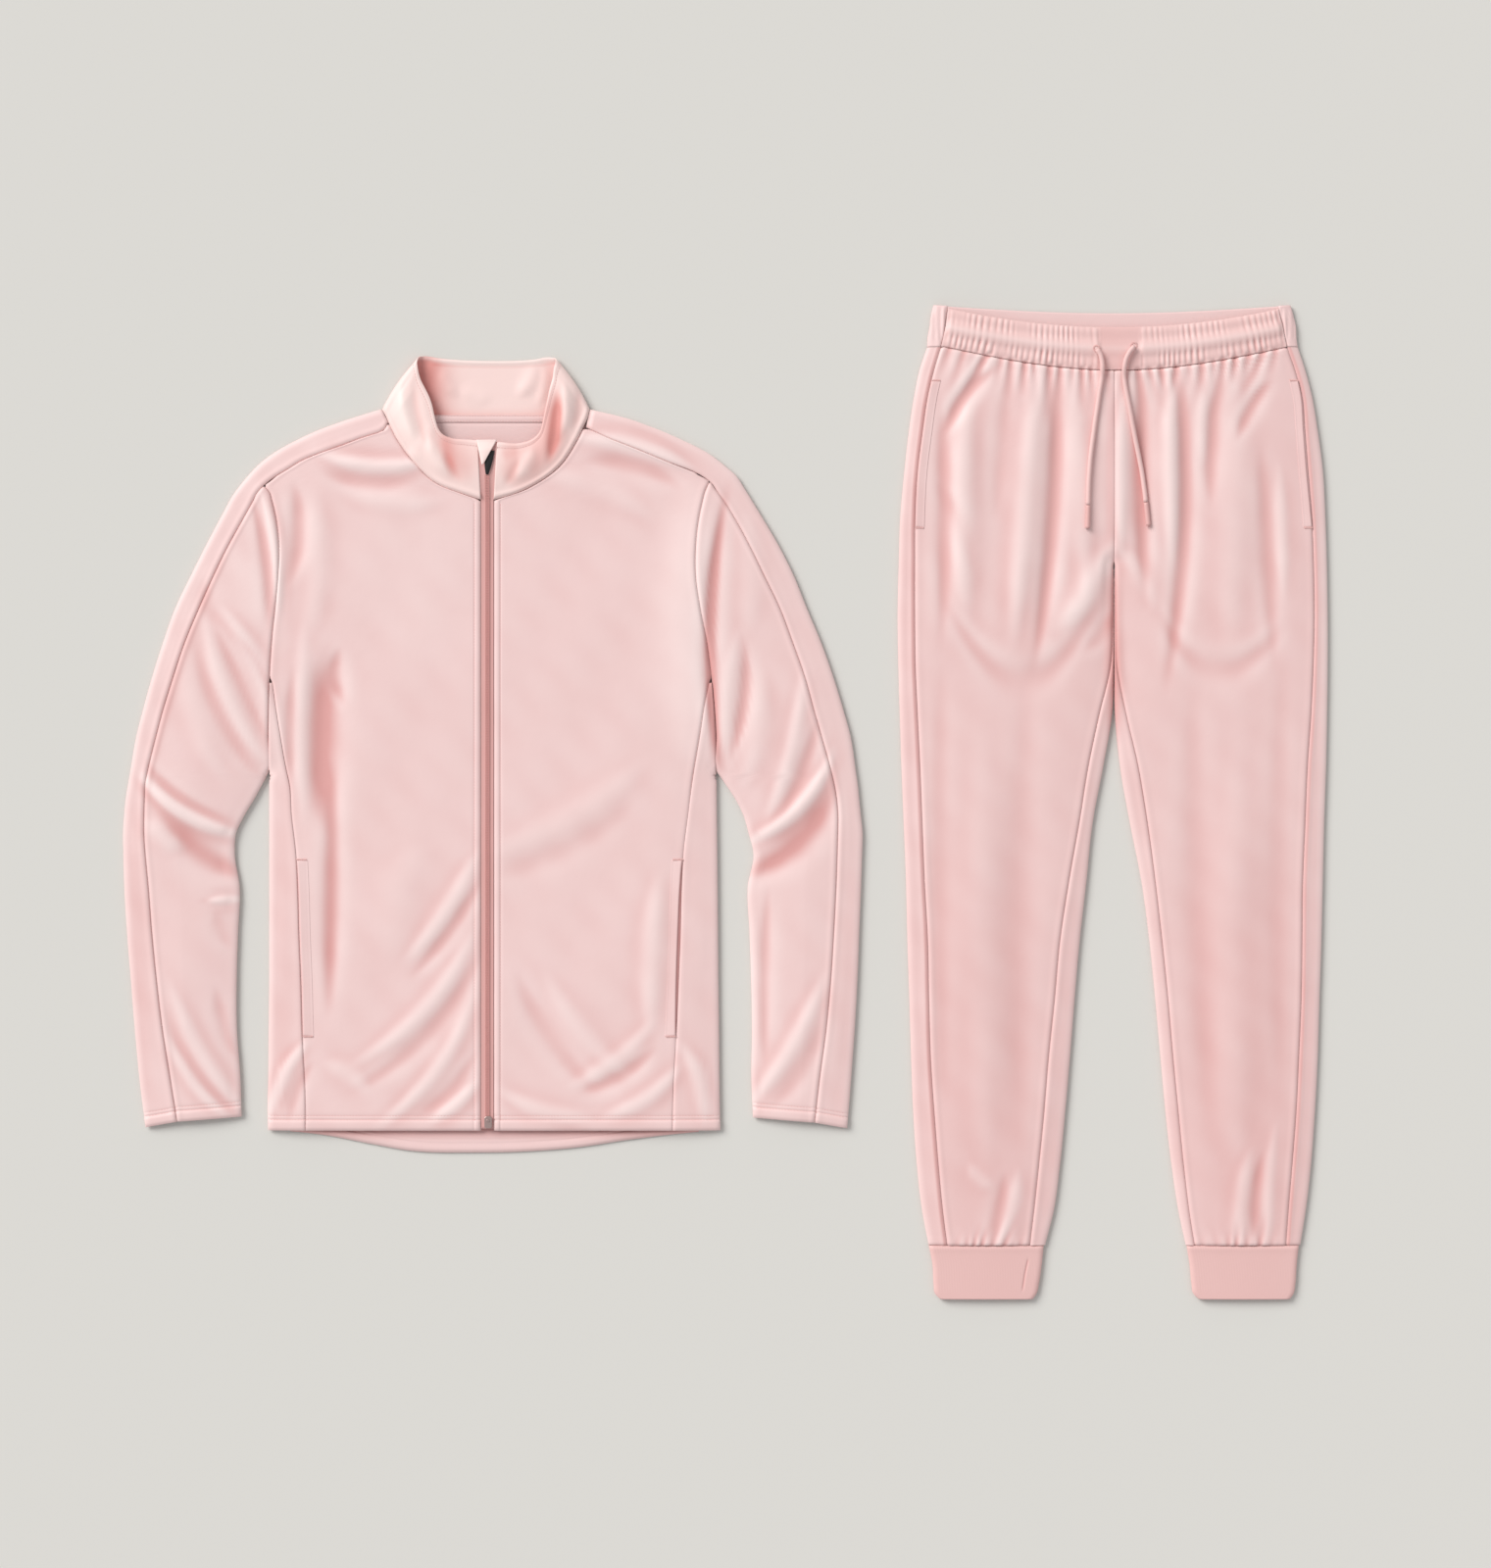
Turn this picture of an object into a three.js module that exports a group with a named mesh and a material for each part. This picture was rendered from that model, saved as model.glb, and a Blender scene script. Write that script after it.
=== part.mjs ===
// A knit tracksuit laid flat on its back: a zip jacket and, beside it, drawcord trousers with ribbed cuffs.
// Millimetres, +Z up, the surface it lies on at z = 0. "Right" and "left" are the wearer's.
// Plan places are written as seen from above, in mm from the top left corner of the layout: x to the right,
// y down the garment. One function turns them into the part's own frame.
import * as THREE from "three";

// Driving sizes
const CLOTH = 1.5; // wall of every cloth piece
const SEAM_GAP = 0.3; // between the pieces that meet at a seam
const EDGE_HEIGHT = 5.6; // height of a folded free edge
const EDGE_REACH = 8; // how far in from the edge its round goes
const TURN_UNDER = 16; // how far a strip goes on beneath, from the edge
const SIDE_UNDER = 22; // the same for a jacket side panel
const LOWEST_TOP = 4.3; // an upper layer never sinks below this
const LOWEST_EDGE = 3.4; // or below this where a free edge begins
const BODY_PUFF = 1.2; // how much higher the middle of the cloth lies than its edge
const PUFF_WIDTH = 26;
const ZIP_LINE = 497.8; // x of the jacket's centre front
const FRONT_EDGE = 6.7; // from the zip line to a front panel's edge
const ZIP_SINK = 0.6; // the tapes lie this much lower than the fronts
const COLLAR_RIM = 15; // height of the collar's rim at the front
const COLLAR_SIDE = 12; // and at its side folds
const COLLAR_BULGE = 3;
const NECK_SEAM_Y = 427.3; // the back neck seam
const HEM_Y = 1153;
const FLY_X = 1136; // the trousers' centre front seam
const WAIST_SEAM_Y = 355; // the waistband's seam at the sides
const WAIST_SAG = 24; // how far that seam dips at the centre front
const LEG_END_Y = 1270;
const CUFF_END_Y = 1325;
const RIB_COUNT = 58;
const RIB_HEIGHT = 0.9;
const CORD_WIDTH = 4.8;
const MIDDLE = { x: 740, y: 821 }; // the layout's middle

const PINK = "#f1cfcc";
const PINK_RIB = "#edc8c4";
const PINK_CORD = "#f0d2cf";
const BLACK_METAL = "#1d1b1c";
const PALE_METAL = "#d8c3bf";

// Tables: the first string names the columns, and each row is one section of the garment
function table(names, rows) {
  const columns = names.split(" ");
  return rows.map((row) => Object.fromEntries(columns.map((name, i) => [name, row[i]])));
}

// Shoulder sections, from the neck out. seam: x of the seam between strip and front at this y. edge: x of the
// shoulder's edge, up: how far above the seam it is. neck: x of the neck seam. rimX, rimY: the collar's rim.
const SHOULDERS = {
  right: table("y seam edge up neck rimX rimY", [
    [434, 395.4, 388.5, 15.6, 398, 430, 388],
    [441, 390, 381, 20.7, 401.5, 434.5, 397],
    [447, 371, 363, 21.1, 404.5, 438.5, 405],
    [455, 350, 342, 22.1, 409.7, 442, 415],
    [462, 330, 321.5, 21.3, 414.5, 444, 424],
    [470, 310, 300, 19, 421, 446, 432],
    [479, 295, 283, 18.6, 429, 448.5, 439],
    [488, 280, 267.5, 16.5, 438, 453, 444.5],
  ]),
  left: table("y seam edge up neck rimX rimY", [
    [439, 602.3, 606, 20, 594.2, 564, 388],
    [444, 613.2, 618, 22.3, 592, 562, 395],
    [449, 624, 630, 24.5, 589.5, 560.5, 401],
    [455, 639.3, 646, 26, 586, 559, 408],
    [460, 652, 659, 26.2, 583.2, 557.5, 415],
    [466, 666.5, 674, 26.6, 579.3, 556, 422],
    [472, 681, 690, 25.6, 575, 554.5, 430],
    [483, 710, 722, 20.6, 564, 551.5, 441],
  ]),
};
// Sleeve sections above the armpit. arm: x of the armhole seam. neck and rim go on for the first rows.
const UPPER_SLEEVES = {
  right: table("y seam edge up arm neck rimX rimY", [
    [497, 269, 254.5, 12.4, 270.6, 452, 463, 448.5],
    [503, 263.5, 245, 7, 276, 468, 475, 449.5],
    [511, 259.5, 238.5, 6, 278.5, 491, 488.5, 450.5],
    [530, 249, 228, 6, 283],
    [560, 232.5, 211.5, 5, 286],
    [590, 218, 196, 4, 285],
    [620, 204.5, 180.5, 2, 282],
    [655, 190, 167.5, 1, 278.5],
    [697, 176, 154, 0, 276],
    [725, 167.3, 146.3, 0, 275.5],
    [750, 160.7, 140, 0, 275],
    [787, 151.6, 133.5, 0, 275],
  ]),
  left: table("y seam edge up arm neck rimX rimY", [
    [493, 725, 742, 15.4, 723.4, 549.5, 544, 449],
    [503, 732.1, 752.5, 15.5, 719, 530, 529, 453.5],
    [511, 738, 760, 11.6, 717, 504.6, 508, 452],
    [530, 749.8, 775.5, 5.3, 713],
    [560, 766, 794, 4, 709.8],
    [590, 780.6, 809.5, 3, 710],
    [620, 795.1, 822.4, 1, 714.3],
    [655, 808.3, 837.4, 0, 721],
    [697, 822.8, 852.1, 0, 726.3],
    [725, 830.3, 860.5, 0, 728.8],
    [750, 837.5, 867.4, 0, 730.3],
    [787, 847.8, 873.1, 0, 731],
  ]),
};
// Sleeve sections below the armpit, where the sleeve has an inner edge of its own
const LOWER_SLEEVES = {
  right: table("y seam edge inner", [
    [790, 151, 133, 273.4],
    [794, 150.2, 132.3, 271.4],
    [800, 149, 131.3, 268.2],
    [815, 148.5, 128.8, 260.2],
    [832, 148, 127.2, 250],
    [850, 148, 126, 241.5],
    [870, 149.3, 126.4, 240],
    [905, 152.5, 127.3, 245],
    [950, 156, 130, 243.5],
    [1000, 161, 134, 242],
    [1050, 167, 138, 242.3],
    [1100, 175, 143, 245.7],
    [1144, 182, 149, 247],
  ]),
  left: table("y seam edge inner", [
    [790, 848.5, 873.5, 733],
    [794, 849.5, 874.1, 735.7],
    [800, 850.9, 875, 739.8],
    [815, 853.4, 876.5, 749.7],
    [832, 854.8, 878.2, 758.2],
    [850, 854.6, 880, 763.4],
    [870, 854.1, 879.5, 768.4],
    [905, 852.9, 878.4, 762.7],
    [950, 850.6, 876.6, 764.4],
    [1000, 847.4, 874.7, 766.1],
    [1050, 842.7, 871.9, 767],
    [1100, 836.1, 868.1, 766.3],
    [1145, 831, 864.2, 768],
  ]),
};
// Body sections: side is the seam between front and side panel, edge the body's own edge below the armpit
const BODIES = {
  right: table("y edge side", [
    [697, 276, 278.7],
    [725, 275.5, 282.5],
    [750, 275, 286.5],
    [787, 275, 293],
    [790, 275, 293.6],
    [794, 275, 294.5],
    [800, 275, 296],
    [832, 275, 298.4],
    [870, 275, 302.9],
    [905, 275, 304.8],
    [950, 275, 306],
    [1000, 275, 308],
    [1050, 274.5, 309.4],
    [1100, 274, 312],
    [1130, 273.4, 313],
    [HEM_Y, 274, 313],
  ]),
  left: table("y edge side", [
    [697, 726.3, 723.6],
    [725, 728.8, 718.1],
    [750, 730.3, 714.3],
    [787, 731, 708],
    [790, 731, 707.5],
    [794, 731, 706.9],
    [800, 731.1, 706],
    [832, 731.4, 701.9],
    [870, 731.9, 697.2],
    [905, 732.2, 695.5],
    [950, 732.6, 694.4],
    [1000, 733, 692.5],
    [1050, 733.6, 690.3],
    [1100, 734, 687.2],
    [1130, 734.5, 686.2],
    [HEM_Y, 735, 686],
  ]),
};
// Where the strip and the collar meet at the side of the neck: the strip's seam and the shoulder's edge
const NECK_ENDS = {
  right: { seam: [397, 432], edge: [390, 418] },
  left: { seam: [598.3, 437], edge: [602, 418] },
};
// The collar's rim round its side fold, from the upper layer (turn 90) to the lower one (turn -90)
const COLLAR_FOLDS = {
  right: table("turn rimX rimY", [
    [90, 426.8, 374],
    [45, 426.4, 368.5],
    [0, 427.6, 365],
    [-45, 431, 364],
    [-90, 437, 364.3],
  ]),
  left: table("turn rimX rimY", [
    [90, 565.8, 376],
    [45, 567.4, 370.5],
    [0, 567.6, 366.6],
    [-45, 564.4, 365.2],
    [-90, 559, 365],
  ]),
};
// The lower layer of the collar: x at the seam, and the rim above it
const COLLAR_BACK = table("x rimX rimY", [
  [404, 447, 366],
  [443, 468, 368],
  [497, 500, 369],
  [551, 532, 368.5],
  [590, 548, 367],
]);
const CUFF_SLANTS = { right: { edge: 6, inner: -5 }, left: { edge: 6, inner: -5 } };
const BACK_TAIL = table("x y", [
  [276, 1153],
  [300, 1154.5],
  [337, 1159],
  [378, 1167],
  [418, 1174],
  [485, 1176],
  [534, 1175],
  [587, 1171],
  [641, 1163],
  [681, 1158],
  [710, 1155],
  [733, 1153],
]);

// Trouser leg sections: edge is the outer edge, seam the side strip's seam, inner the leg's inner edge and
// inseam the seam that lies forward of it. Above the crotch both are the centre seam.
const LEGS = {
  right: table("y edge seam inner inseam", [
    [WAIST_SEAM_Y, 945.5, 959.5],
    [378, 937.8, 952.6],
    [405, 932.3, 946.2],
    [440, 927, 941],
    [480, 922.5, 936],
    [530, 918, 933.3],
    [575, 916.6, 933],
    [579, 916.5, 933, 1135.7, 1131.6],
    [584, 916.4, 933, 1135.7, 1131.4],
    [592, 916.2, 933, 1135.7, 1131.2],
    [630, 915.4, 933, 1135.7, 1131],
    [680, 916.2, 933.6, 1135.6, 1130.3],
    [730, 917.6, 935.8, 1134, 1120],
    [780, 919.2, 938.2, 1125.6, 1110],
    [840, 921.6, 940.6, 1114.4, 1100.3],
    [900, 924, 943, 1108, 1089.7],
    [960, 925.4, 946.2, 1101.2, 1080.7],
    [1020, 927.4, 947.4, 1096, 1075.2],
    [1080, 929.2, 949.2, 1091.2, 1069],
    [1140, 931.6, 953.2, 1086, 1064],
    [1190, 935.2, 957.2, 1081, 1059],
    [1235, 940.4, 961.5, 1074.8, 1054.2],
    [LEG_END_Y, 947, 966, 1066, 1050],
  ]),
  left: table("y edge seam inner inseam", [
    [WAIST_SEAM_Y, 1323.5, 1312],
    [378, 1331, 1320.2],
    [405, 1338, 1327.3],
    [440, 1343.8, 1330.3],
    [480, 1349, 1333.4],
    [530, 1351.7, 1337.3],
    [575, 1353.1, 1339.2],
    [579, 1353.2, 1339.3, 1136.3, 1140.4],
    [584, 1353.3, 1339.4, 1136.3, 1140.6],
    [592, 1353.6, 1339.8, 1136.3, 1140.8],
    [630, 1354, 1340, 1136.3, 1140.9],
    [680, 1354, 1338.8, 1136.4, 1141.2],
    [730, 1353.4, 1336.5, 1137, 1148.7],
    [780, 1352.4, 1333, 1141.8, 1160],
    [840, 1350.4, 1330.5, 1152.2, 1170],
    [900, 1349, 1328, 1164, 1178],
    [960, 1347.6, 1327.4, 1172, 1185],
    [1020, 1345.6, 1326.5, 1178, 1191],
    [1080, 1343.8, 1324, 1183.4, 1196.2],
    [1140, 1340.6, 1321, 1189, 1202],
    [1190, 1336.8, 1317, 1194.8, 1207],
    [1235, 1331.6, 1313.4, 1201.6, 1212.4],
    [LEG_END_Y, 1326, 1311, 1209, 1218],
  ]),
};
// Waistband sections. right, left: its folded edges; seamRight, seamLeft: where back meets front
const WAIST = table("y right seamRight left seamLeft", [
  [312, 952, 967, 1316, 1303],
  [322, 949.5, 965.5, 1319, 1305],
  [334, 948, 964, 1321.5, 1308],
  [345, 946, 961.8, 1322, 1310],
  [WAIST_SEAM_Y - SEAM_GAP, 945.5, 959.5, 1323.5, 1312],
]);
const WAIST_BACK_DIP = 8; // the back's top edge dips this much at its middle
const WAIST_FRONT_DIP = 22; // and the front's
const CUFFS = {
  right: table("y outer inner", [
    [LEG_END_Y + SEAM_GAP, 947.2, 1064.5],
    [1290, 951, 1062.5],
    [1310, 952.2, 1059.5],
    [1320, 953.8, 1057],
    [CUFF_END_Y, 958.5, 1053.5],
  ]),
  left: table("y outer inner", [
    [LEG_END_Y + SEAM_GAP, 1324.5, 1209.8],
    [1290, 1322.4, 1213],
    [1310, 1321, 1215],
    [1320, 1319, 1217],
    [CUFF_END_Y, 1315.5, 1222],
  ]),
};
// The largest folds: a line from (x1, y1) to (x2, y2), its half width and its height, down when negative
const JACKET_FOLDS = table("x1 y1 x2 y2 wide high", [
  [520, 850, 640, 790, 20, 3],
  [470, 965, 390, 1120, 18, 3],
  [500, 960, 470, 1100, 16, -1.5],
  [340, 690, 340, 800, 14, -2],
  [680, 500, 680, 740, 26, 2.5],
  [600, 1135, 690, 1078, 14, 2.5],
  [340, 472, 430, 482, 16, 2.5],
  [600, 455, 690, 490, 18, 3],
  [165, 812, 240, 850, 16, 4],
  [150, 838, 240, 888, 12, -1.5],
  [222, 690, 268, 768, 14, -1.5],
  [200, 620, 240, 700, 18, 2.5],
  [185, 1040, 240, 1112, 14, 2.5],
  [775, 860, 845, 800, 16, 4],
  [768, 900, 842, 842, 12, -1.5],
  [760, 640, 772, 740, 14, 2.5],
  [775, 1108, 830, 1022, 14, 2.5],
  [410, 470, 480, 515, 18, 2],
  [590, 470, 515, 515, 18, 2],
]);
const TROUSER_FOLDS = table("x1 y1 x2 y2 wide high", [
  [1000, 420, 985, 620, 20, 2],
  [1065, 400, 1062, 680, 16, -1.5],
  [1090, 600, 1135, 555, 16, 3],
  [1138, 555, 1190, 610, 16, 2.5],
  [975, 650, 1010, 684, 14, 2.5],
  [1015, 684, 1100, 620, 14, 2.5],
  [1203, 410, 1205, 600, 16, -1.5],
  [1245, 420, 1250, 640, 22, 2],
  [1190, 640, 1235, 680, 14, 2.5],
  [1240, 680, 1290, 650, 14, 2.5],
  [1000, 760, 1010, 1180, 26, 2],
  [1265, 760, 1262, 1180, 26, 2],
]);
// Free ends of the drawcord, from the eyelet to the start of the tip, then the tip's end
const CORDS = {
  right: {
    route: table("x y", [
      [1117.5, 358],
      [1120.8, 362.5],
      [1122.6, 369],
      [1123.3, 377],
      [1122.9, 385],
      [1121.8, 393],
      [1120.3, 402],
      [1118.8, 413],
      [1117.3, 423],
      [1115.8, 433],
      [1114.2, 445],
      [1112.5, 457],
      [1111.2, 468],
      [1110.2, 480],
      [1109.4, 492],
      [1109, 504],
      [1108.8, 516],
    ]),
    tip: table("x y", [
      [1108.8, 516.6],
      [1108.6, 528],
      [1108.2, 540],
    ]),
  },
  left: {
    route: table("x y", [
      [1155.8, 355],
      [1150.8, 360.8],
      [1147.2, 368],
      [1145.5, 376],
      [1145.4, 385],
      [1146.4, 394],
      [1148, 403],
      [1150, 413],
      [1152, 423],
      [1153.8, 433],
      [1155.8, 443],
      [1157.8, 453],
      [1160, 463],
      [1162.1, 473],
      [1164, 483],
      [1165.5, 494],
      [1166.8, 504],
      [1167.8, 513],
    ]),
    tip: table("x y", [
      [1167.9, 513.6],
      [1169.2, 525],
      [1170.3, 537],
    ]),
  },
};

const SIDES = ["right", "left"];
const tracksuit = new THREE.Group();

// Places
const lerp = (a, b, f) => a + (b - a) * f;
const clamp01 = (f) => Math.min(1, Math.max(0, f));
const smooth = (f) => clamp01(f) ** 2 * (3 - 2 * clamp01(f));
const mix = (p, q, f) => [lerp(p[0], q[0], f), lerp(p[1], q[1], f)];
const toPart = ([x, y, z]) => [x - MIDDLE.x, MIDDLE.y - y, z];

function along(rows, key, column, at) {
  const last = rows.length - 1;
  if (at <= rows[0][key]) return rows[0][column];
  if (at >= rows[last][key]) return rows[last][column];
  const next = rows.findIndex((row) => row[key] >= at);
  const before = rows[next - 1];
  const after = rows[next];
  return lerp(before[column], after[column], (at - before[key]) / (after[key] - before[key]));
}

function distanceToLine(x, y, [ax, ay], [bx, by]) {
  const length2 = (bx - ax) ** 2 + (by - ay) ** 2;
  const f = clamp01(((x - ax) * (bx - ax) + (y - ay) * (by - ay)) / length2);
  return Math.hypot(x - lerp(ax, bx, f), y - lerp(ay, by, f));
}

// Height of a garment's upper layer: its edges lie low and round, its middle is puffed, and folds run over it
const roundEdge = (d) => (EDGE_HEIGHT / 2) * (1 + Math.sqrt(1 - (1 - Math.min(1, d / EDGE_REACH)) ** 2));

function upperLayer(edges, folds) {
  return (x, y) => {
    let d = Infinity;
    for (const edge of edges) {
      for (let i = 1; i < edge.length; i++) d = Math.min(d, distanceToLine(x, y, edge[i - 1], edge[i]));
    }
    let z = roundEdge(d) + BODY_PUFF * (1 - Math.exp(-Math.max(0, d - EDGE_REACH) / PUFF_WIDTH));
    const clear = smooth((d - EDGE_REACH * 0.8) / 14);
    for (const fold of folds) {
      const off = distanceToLine(x, y, [fold.x1, fold.y1], [fold.x2, fold.y2]) / fold.wide;
      z += clear * fold.high * Math.exp(-off * off);
    }
    return Math.max(z, d < EDGE_REACH ? LOWEST_EDGE : LOWEST_TOP);
  };
}

const sleeveRows = (side) => [...UPPER_SLEEVES[side], ...LOWER_SLEEVES[side]];
const shoulderRows = (side) => [...SHOULDERS[side], ...sleeveRows(side)];
const edgePoint = (row) => [row.edge, row.y - (row.up ?? 0)];
const armpit = (side) => UPPER_SLEEVES[side].at(-1);
const jacketEdges = SIDES.flatMap((side) => [
  [NECK_ENDS[side].edge, ...shoulderRows(side).map(edgePoint)],
  [[armpit(side).arm, armpit(side).y], ...LOWER_SLEEVES[side].map((row) => [row.inner, row.y])],
  BODIES[side].slice(3).map((row) => [row.edge, row.y]),
]);
const jacketTop = upperLayer(jacketEdges, JACKET_FOLDS);

const crotchRows = (side) => LEGS[side].filter((row) => row.inner);
const trouserEdges = SIDES.flatMap((side) => [
  [...WAIST.map((row) => [row[side], row.y]), ...LEGS[side].map((row) => [row.edge, row.y])],
  [[FLY_X, 577], ...crotchRows(side).map((row) => [row.inner, row.y])],
]);
const trouserTop = upperLayer(trouserEdges, TROUSER_FOLDS);

// Solids. An outer and an inner skin of the same rows and columns, closed by walls round their rim
function closedSkin(outer, inner, ring = false) {
  const rows = outer.length;
  const columns = outer[0].length;
  const points = [...outer.flat(), ...inner.flat()].map(toPart);
  const at = (skin, i, j) => skin * rows * columns + i * columns + (j % columns);
  const faces = [];
  const quad = (a, b, c, d) => faces.push(a, b, c, a, c, d);
  const across = ring ? columns : columns - 1;
  for (let i = 0; i + 1 < rows; i++) {
    for (let j = 0; j < across; j++) {
      quad(at(0, i, j), at(0, i, j + 1), at(0, i + 1, j + 1), at(0, i + 1, j));
      quad(at(1, i, j), at(1, i + 1, j), at(1, i + 1, j + 1), at(1, i, j + 1));
    }
    if (!ring) {
      quad(at(0, i, 0), at(0, i + 1, 0), at(1, i + 1, 0), at(1, i, 0));
      quad(at(0, i + 1, across), at(0, i, across), at(1, i, across), at(1, i + 1, across));
    }
  }
  for (let j = 0; j < across; j++) {
    quad(at(0, 0, j + 1), at(0, 0, j), at(1, 0, j), at(1, 0, j + 1));
    quad(at(0, rows - 1, j), at(0, rows - 1, j + 1), at(1, rows - 1, j + 1), at(1, rows - 1, j));
  }
  let volume = 0;
  const [a, b, c] = [new THREE.Vector3(), new THREE.Vector3(), new THREE.Vector3()];
  for (let i = 0; i < faces.length; i += 3) {
    [a, b, c].forEach((corner, k) => corner.fromArray(points[faces[i + k]]));
    volume += a.dot(b.cross(c));
  }
  if (volume < 0) faces.reverse();
  const geometry = new THREE.BufferGeometry();
  geometry.setAttribute("position", new THREE.Float32BufferAttribute(points.flat(), 3));
  geometry.setIndex(faces);
  return geometry;
}

const sunk = (skin, depth) => skin.map((row) => row.map(([x, y, z]) => [x, y, z - depth]));
const slab = (skin, depth = CLOTH) => closedSkin(skin, sunk(skin, depth));

// A flat piece of the lower layer, from its outline
function plate(outline, z = 0, depth = CLOTH) {
  const shape = new THREE.Shape(outline.map(([x, y]) => new THREE.Vector2(x - MIDDLE.x, MIDDLE.y - y)));
  return new THREE.ExtrudeGeometry(shape, { depth, bevelEnabled: false }).translate(0, 0, z);
}

function add(name, geometry, color = PINK, roughness = 0.55, metalness = 0) {
  geometry.computeVertexNormals();
  const mesh = new THREE.Mesh(geometry, new THREE.MeshStandardMaterial({ color, roughness, metalness }));
  mesh.name = name;
  tracksuit.add(mesh);
}

// A section that goes over the cloth from its top seam to the free edge, round it and back beneath.
// Its path is measured in three parts: 0 to 1 on top, 1 to 2 round the edge, 2 to 3 beneath.
function wrapSection({ seam, edge, under, from = 0, to = 3, top, flatRow = false, topRow = false }, stations) {
  const length = Math.hypot(seam[0] - edge[0], seam[1] - edge[1]);
  const inward = [(seam[0] - edge[0]) / length, (seam[1] - edge[1]) / length];
  const place = (s) => [edge[0] + inward[0] * s, edge[1] + inward[1] * s];
  const half = SEAM_GAP / 2;
  const reach = Math.min(EDGE_REACH, length * 0.6);
  const rise = top(...place(reach));
  const outer = [];
  const inner = [];
  for (const station of stations) {
    const share = station / 3;
    if (topRow) {
      const p = place(lerp(length - half, half, share));
      const z = top(...p);
      outer.push([...p, z]);
      inner.push([...p, z - CLOTH]);
      continue;
    }
    if (flatRow) {
      const p = place(lerp(half, under, share));
      outer.push([...p, 0]);
      inner.push([...p, CLOTH]);
      continue;
    }
    const q = lerp(from, to, share);
    if (q < 1) {
      const p = place(lerp(length - half, reach, q));
      const z = lerp(top(...p), rise, smooth(q * 4 - 3));
      outer.push([...p, z]);
      inner.push([...p, z - CLOTH]);
    } else if (q <= 2) {
      const turn = (1.5 - q) * Math.PI;
      const [cos, sin] = [Math.cos(turn), Math.sin(turn)];
      outer.push([...place(reach * (1 - cos)), (rise / 2) * (1 + sin)]);
      inner.push([...place(reach - (reach - CLOTH) * cos), rise / 2 + (rise / 2 - CLOTH) * sin]);
    } else {
      const p = place(lerp(reach, under, q - 2));
      outer.push([...p, 0]);
      inner.push([...p, CLOTH]);
    }
  }
  return { outer, inner };
}

function wrapped(sections, stations) {
  const made = sections.map((section) => wrapSection(section, stations));
  return closedSkin(
    made.map((row) => row.outer),
    made.map((row) => row.inner),
  );
}

// How far to pull a section's end in, so that the gap across a seam that runs aslant stays the same
function pulled(line, i) {
  const before = line[Math.max(0, i - 1)];
  const after = line[Math.min(line.length - 1, i + 1)];
  const [dx, dy] = [after[0] - before[0], after[1] - before[1]];
  return (SEAM_GAP / 2) * Math.min(4, Math.hypot(dx, dy) / Math.max(1e-6, Math.abs(dy)));
}

// A panel of the upper layer: from its outer line to its inner line, in rows of the same y
function topPanel(outerLine, innerLine, shares, top, ripple = () => 0) {
  return outerLine.map((outer, i) => {
    const toInner = Math.sign(innerLine[i][0] - outer[0]);
    const start = outer[0] + toInner * pulled(outerLine, i);
    const end = innerLine[i][0] - toInner * pulled(innerLine, i);
    return shares.map((share, j) => {
      const x = lerp(start, end, share);
      const y = lerp(outer[1], innerLine[i][1], share);
      return [x, y, top(x, y) + ripple(x, y, j)];
    });
  });
}

const even = (count) => Array.from({ length: count + 1 }, (_, i) => i / count);

// Height of a finished skin at a place, read from its own rows
function onSkin(skin, x, y) {
  const rowAt = (i) => lerp(skin[i][0][1], skin[i].at(-1)[1], 0.5);
  let i = 1;
  while (i < skin.length - 1 && rowAt(i) < y) i++;
  const heightIn = (row) => {
    const rising = row.at(-1)[0] > row[0][0];
    let j = 1;
    while (j < row.length - 1 && (rising ? row[j][0] < x : row[j][0] > x)) j++;
    return lerp(row[j - 1][2], row[j][2], clamp01((x - row[j - 1][0]) / (row[j][0] - row[j - 1][0])));
  };
  const f = clamp01((y - rowAt(i - 1)) / (rowAt(i) - rowAt(i - 1)));
  return lerp(heightIn(skin[i - 1]), heightIn(skin[i]), f);
}

// Jacket fronts: from the shoulder strip, armhole and side seam in to the neck and the zip
const FRONT_SHARES = even(7);
const frontEdgeX = { right: ZIP_LINE - FRONT_EDGE, left: ZIP_LINE + FRONT_EDGE };
const fronts = {};
for (const side of SIDES) {
  const outerLine = [
    ...SHOULDERS[side].map((row) => [row.seam, row.y]),
    ...UPPER_SLEEVES[side].slice(0, 8).map((row) => [row.arm, row.y]),
    ...BODIES[side].map((row) => [row.side, row.y]),
  ];
  const innerLine = [
    ...SHOULDERS[side].map((row) => [row.neck, row.y]),
    ...UPPER_SLEEVES[side].slice(0, 8).map((row) => [row.neck ?? frontEdgeX[side], row.y]),
    ...BODIES[side].map((row) => [frontEdgeX[side], row.y]),
  ];
  fronts[side] = topPanel(outerLine, innerLine, FRONT_SHARES, jacketTop);
  add(`jacket_front_${side}`, slab(fronts[side]));
}

// Side panels: a wedge on the front from the armhole down, then round the body's edge and beneath
const SIDE_STATIONS = [0, 0.5, 1, 1.25, 1.5, 1.75, 2, 3];
const turning = { 790: { to: 1.5 }, 794: { to: 2 } };
for (const side of SIDES) {
  const sections = BODIES[side].map((row) => ({
    seam: [row.side, row.y],
    edge: [row.edge, row.y],
    under: SIDE_UNDER,
    top: jacketTop,
    topRow: row.y <= armpit(side).y,
    ...turning[row.y],
  }));
  add(`jacket_side_panel_${side}`, wrapped(sections, SIDE_STATIONS));
}

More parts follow.
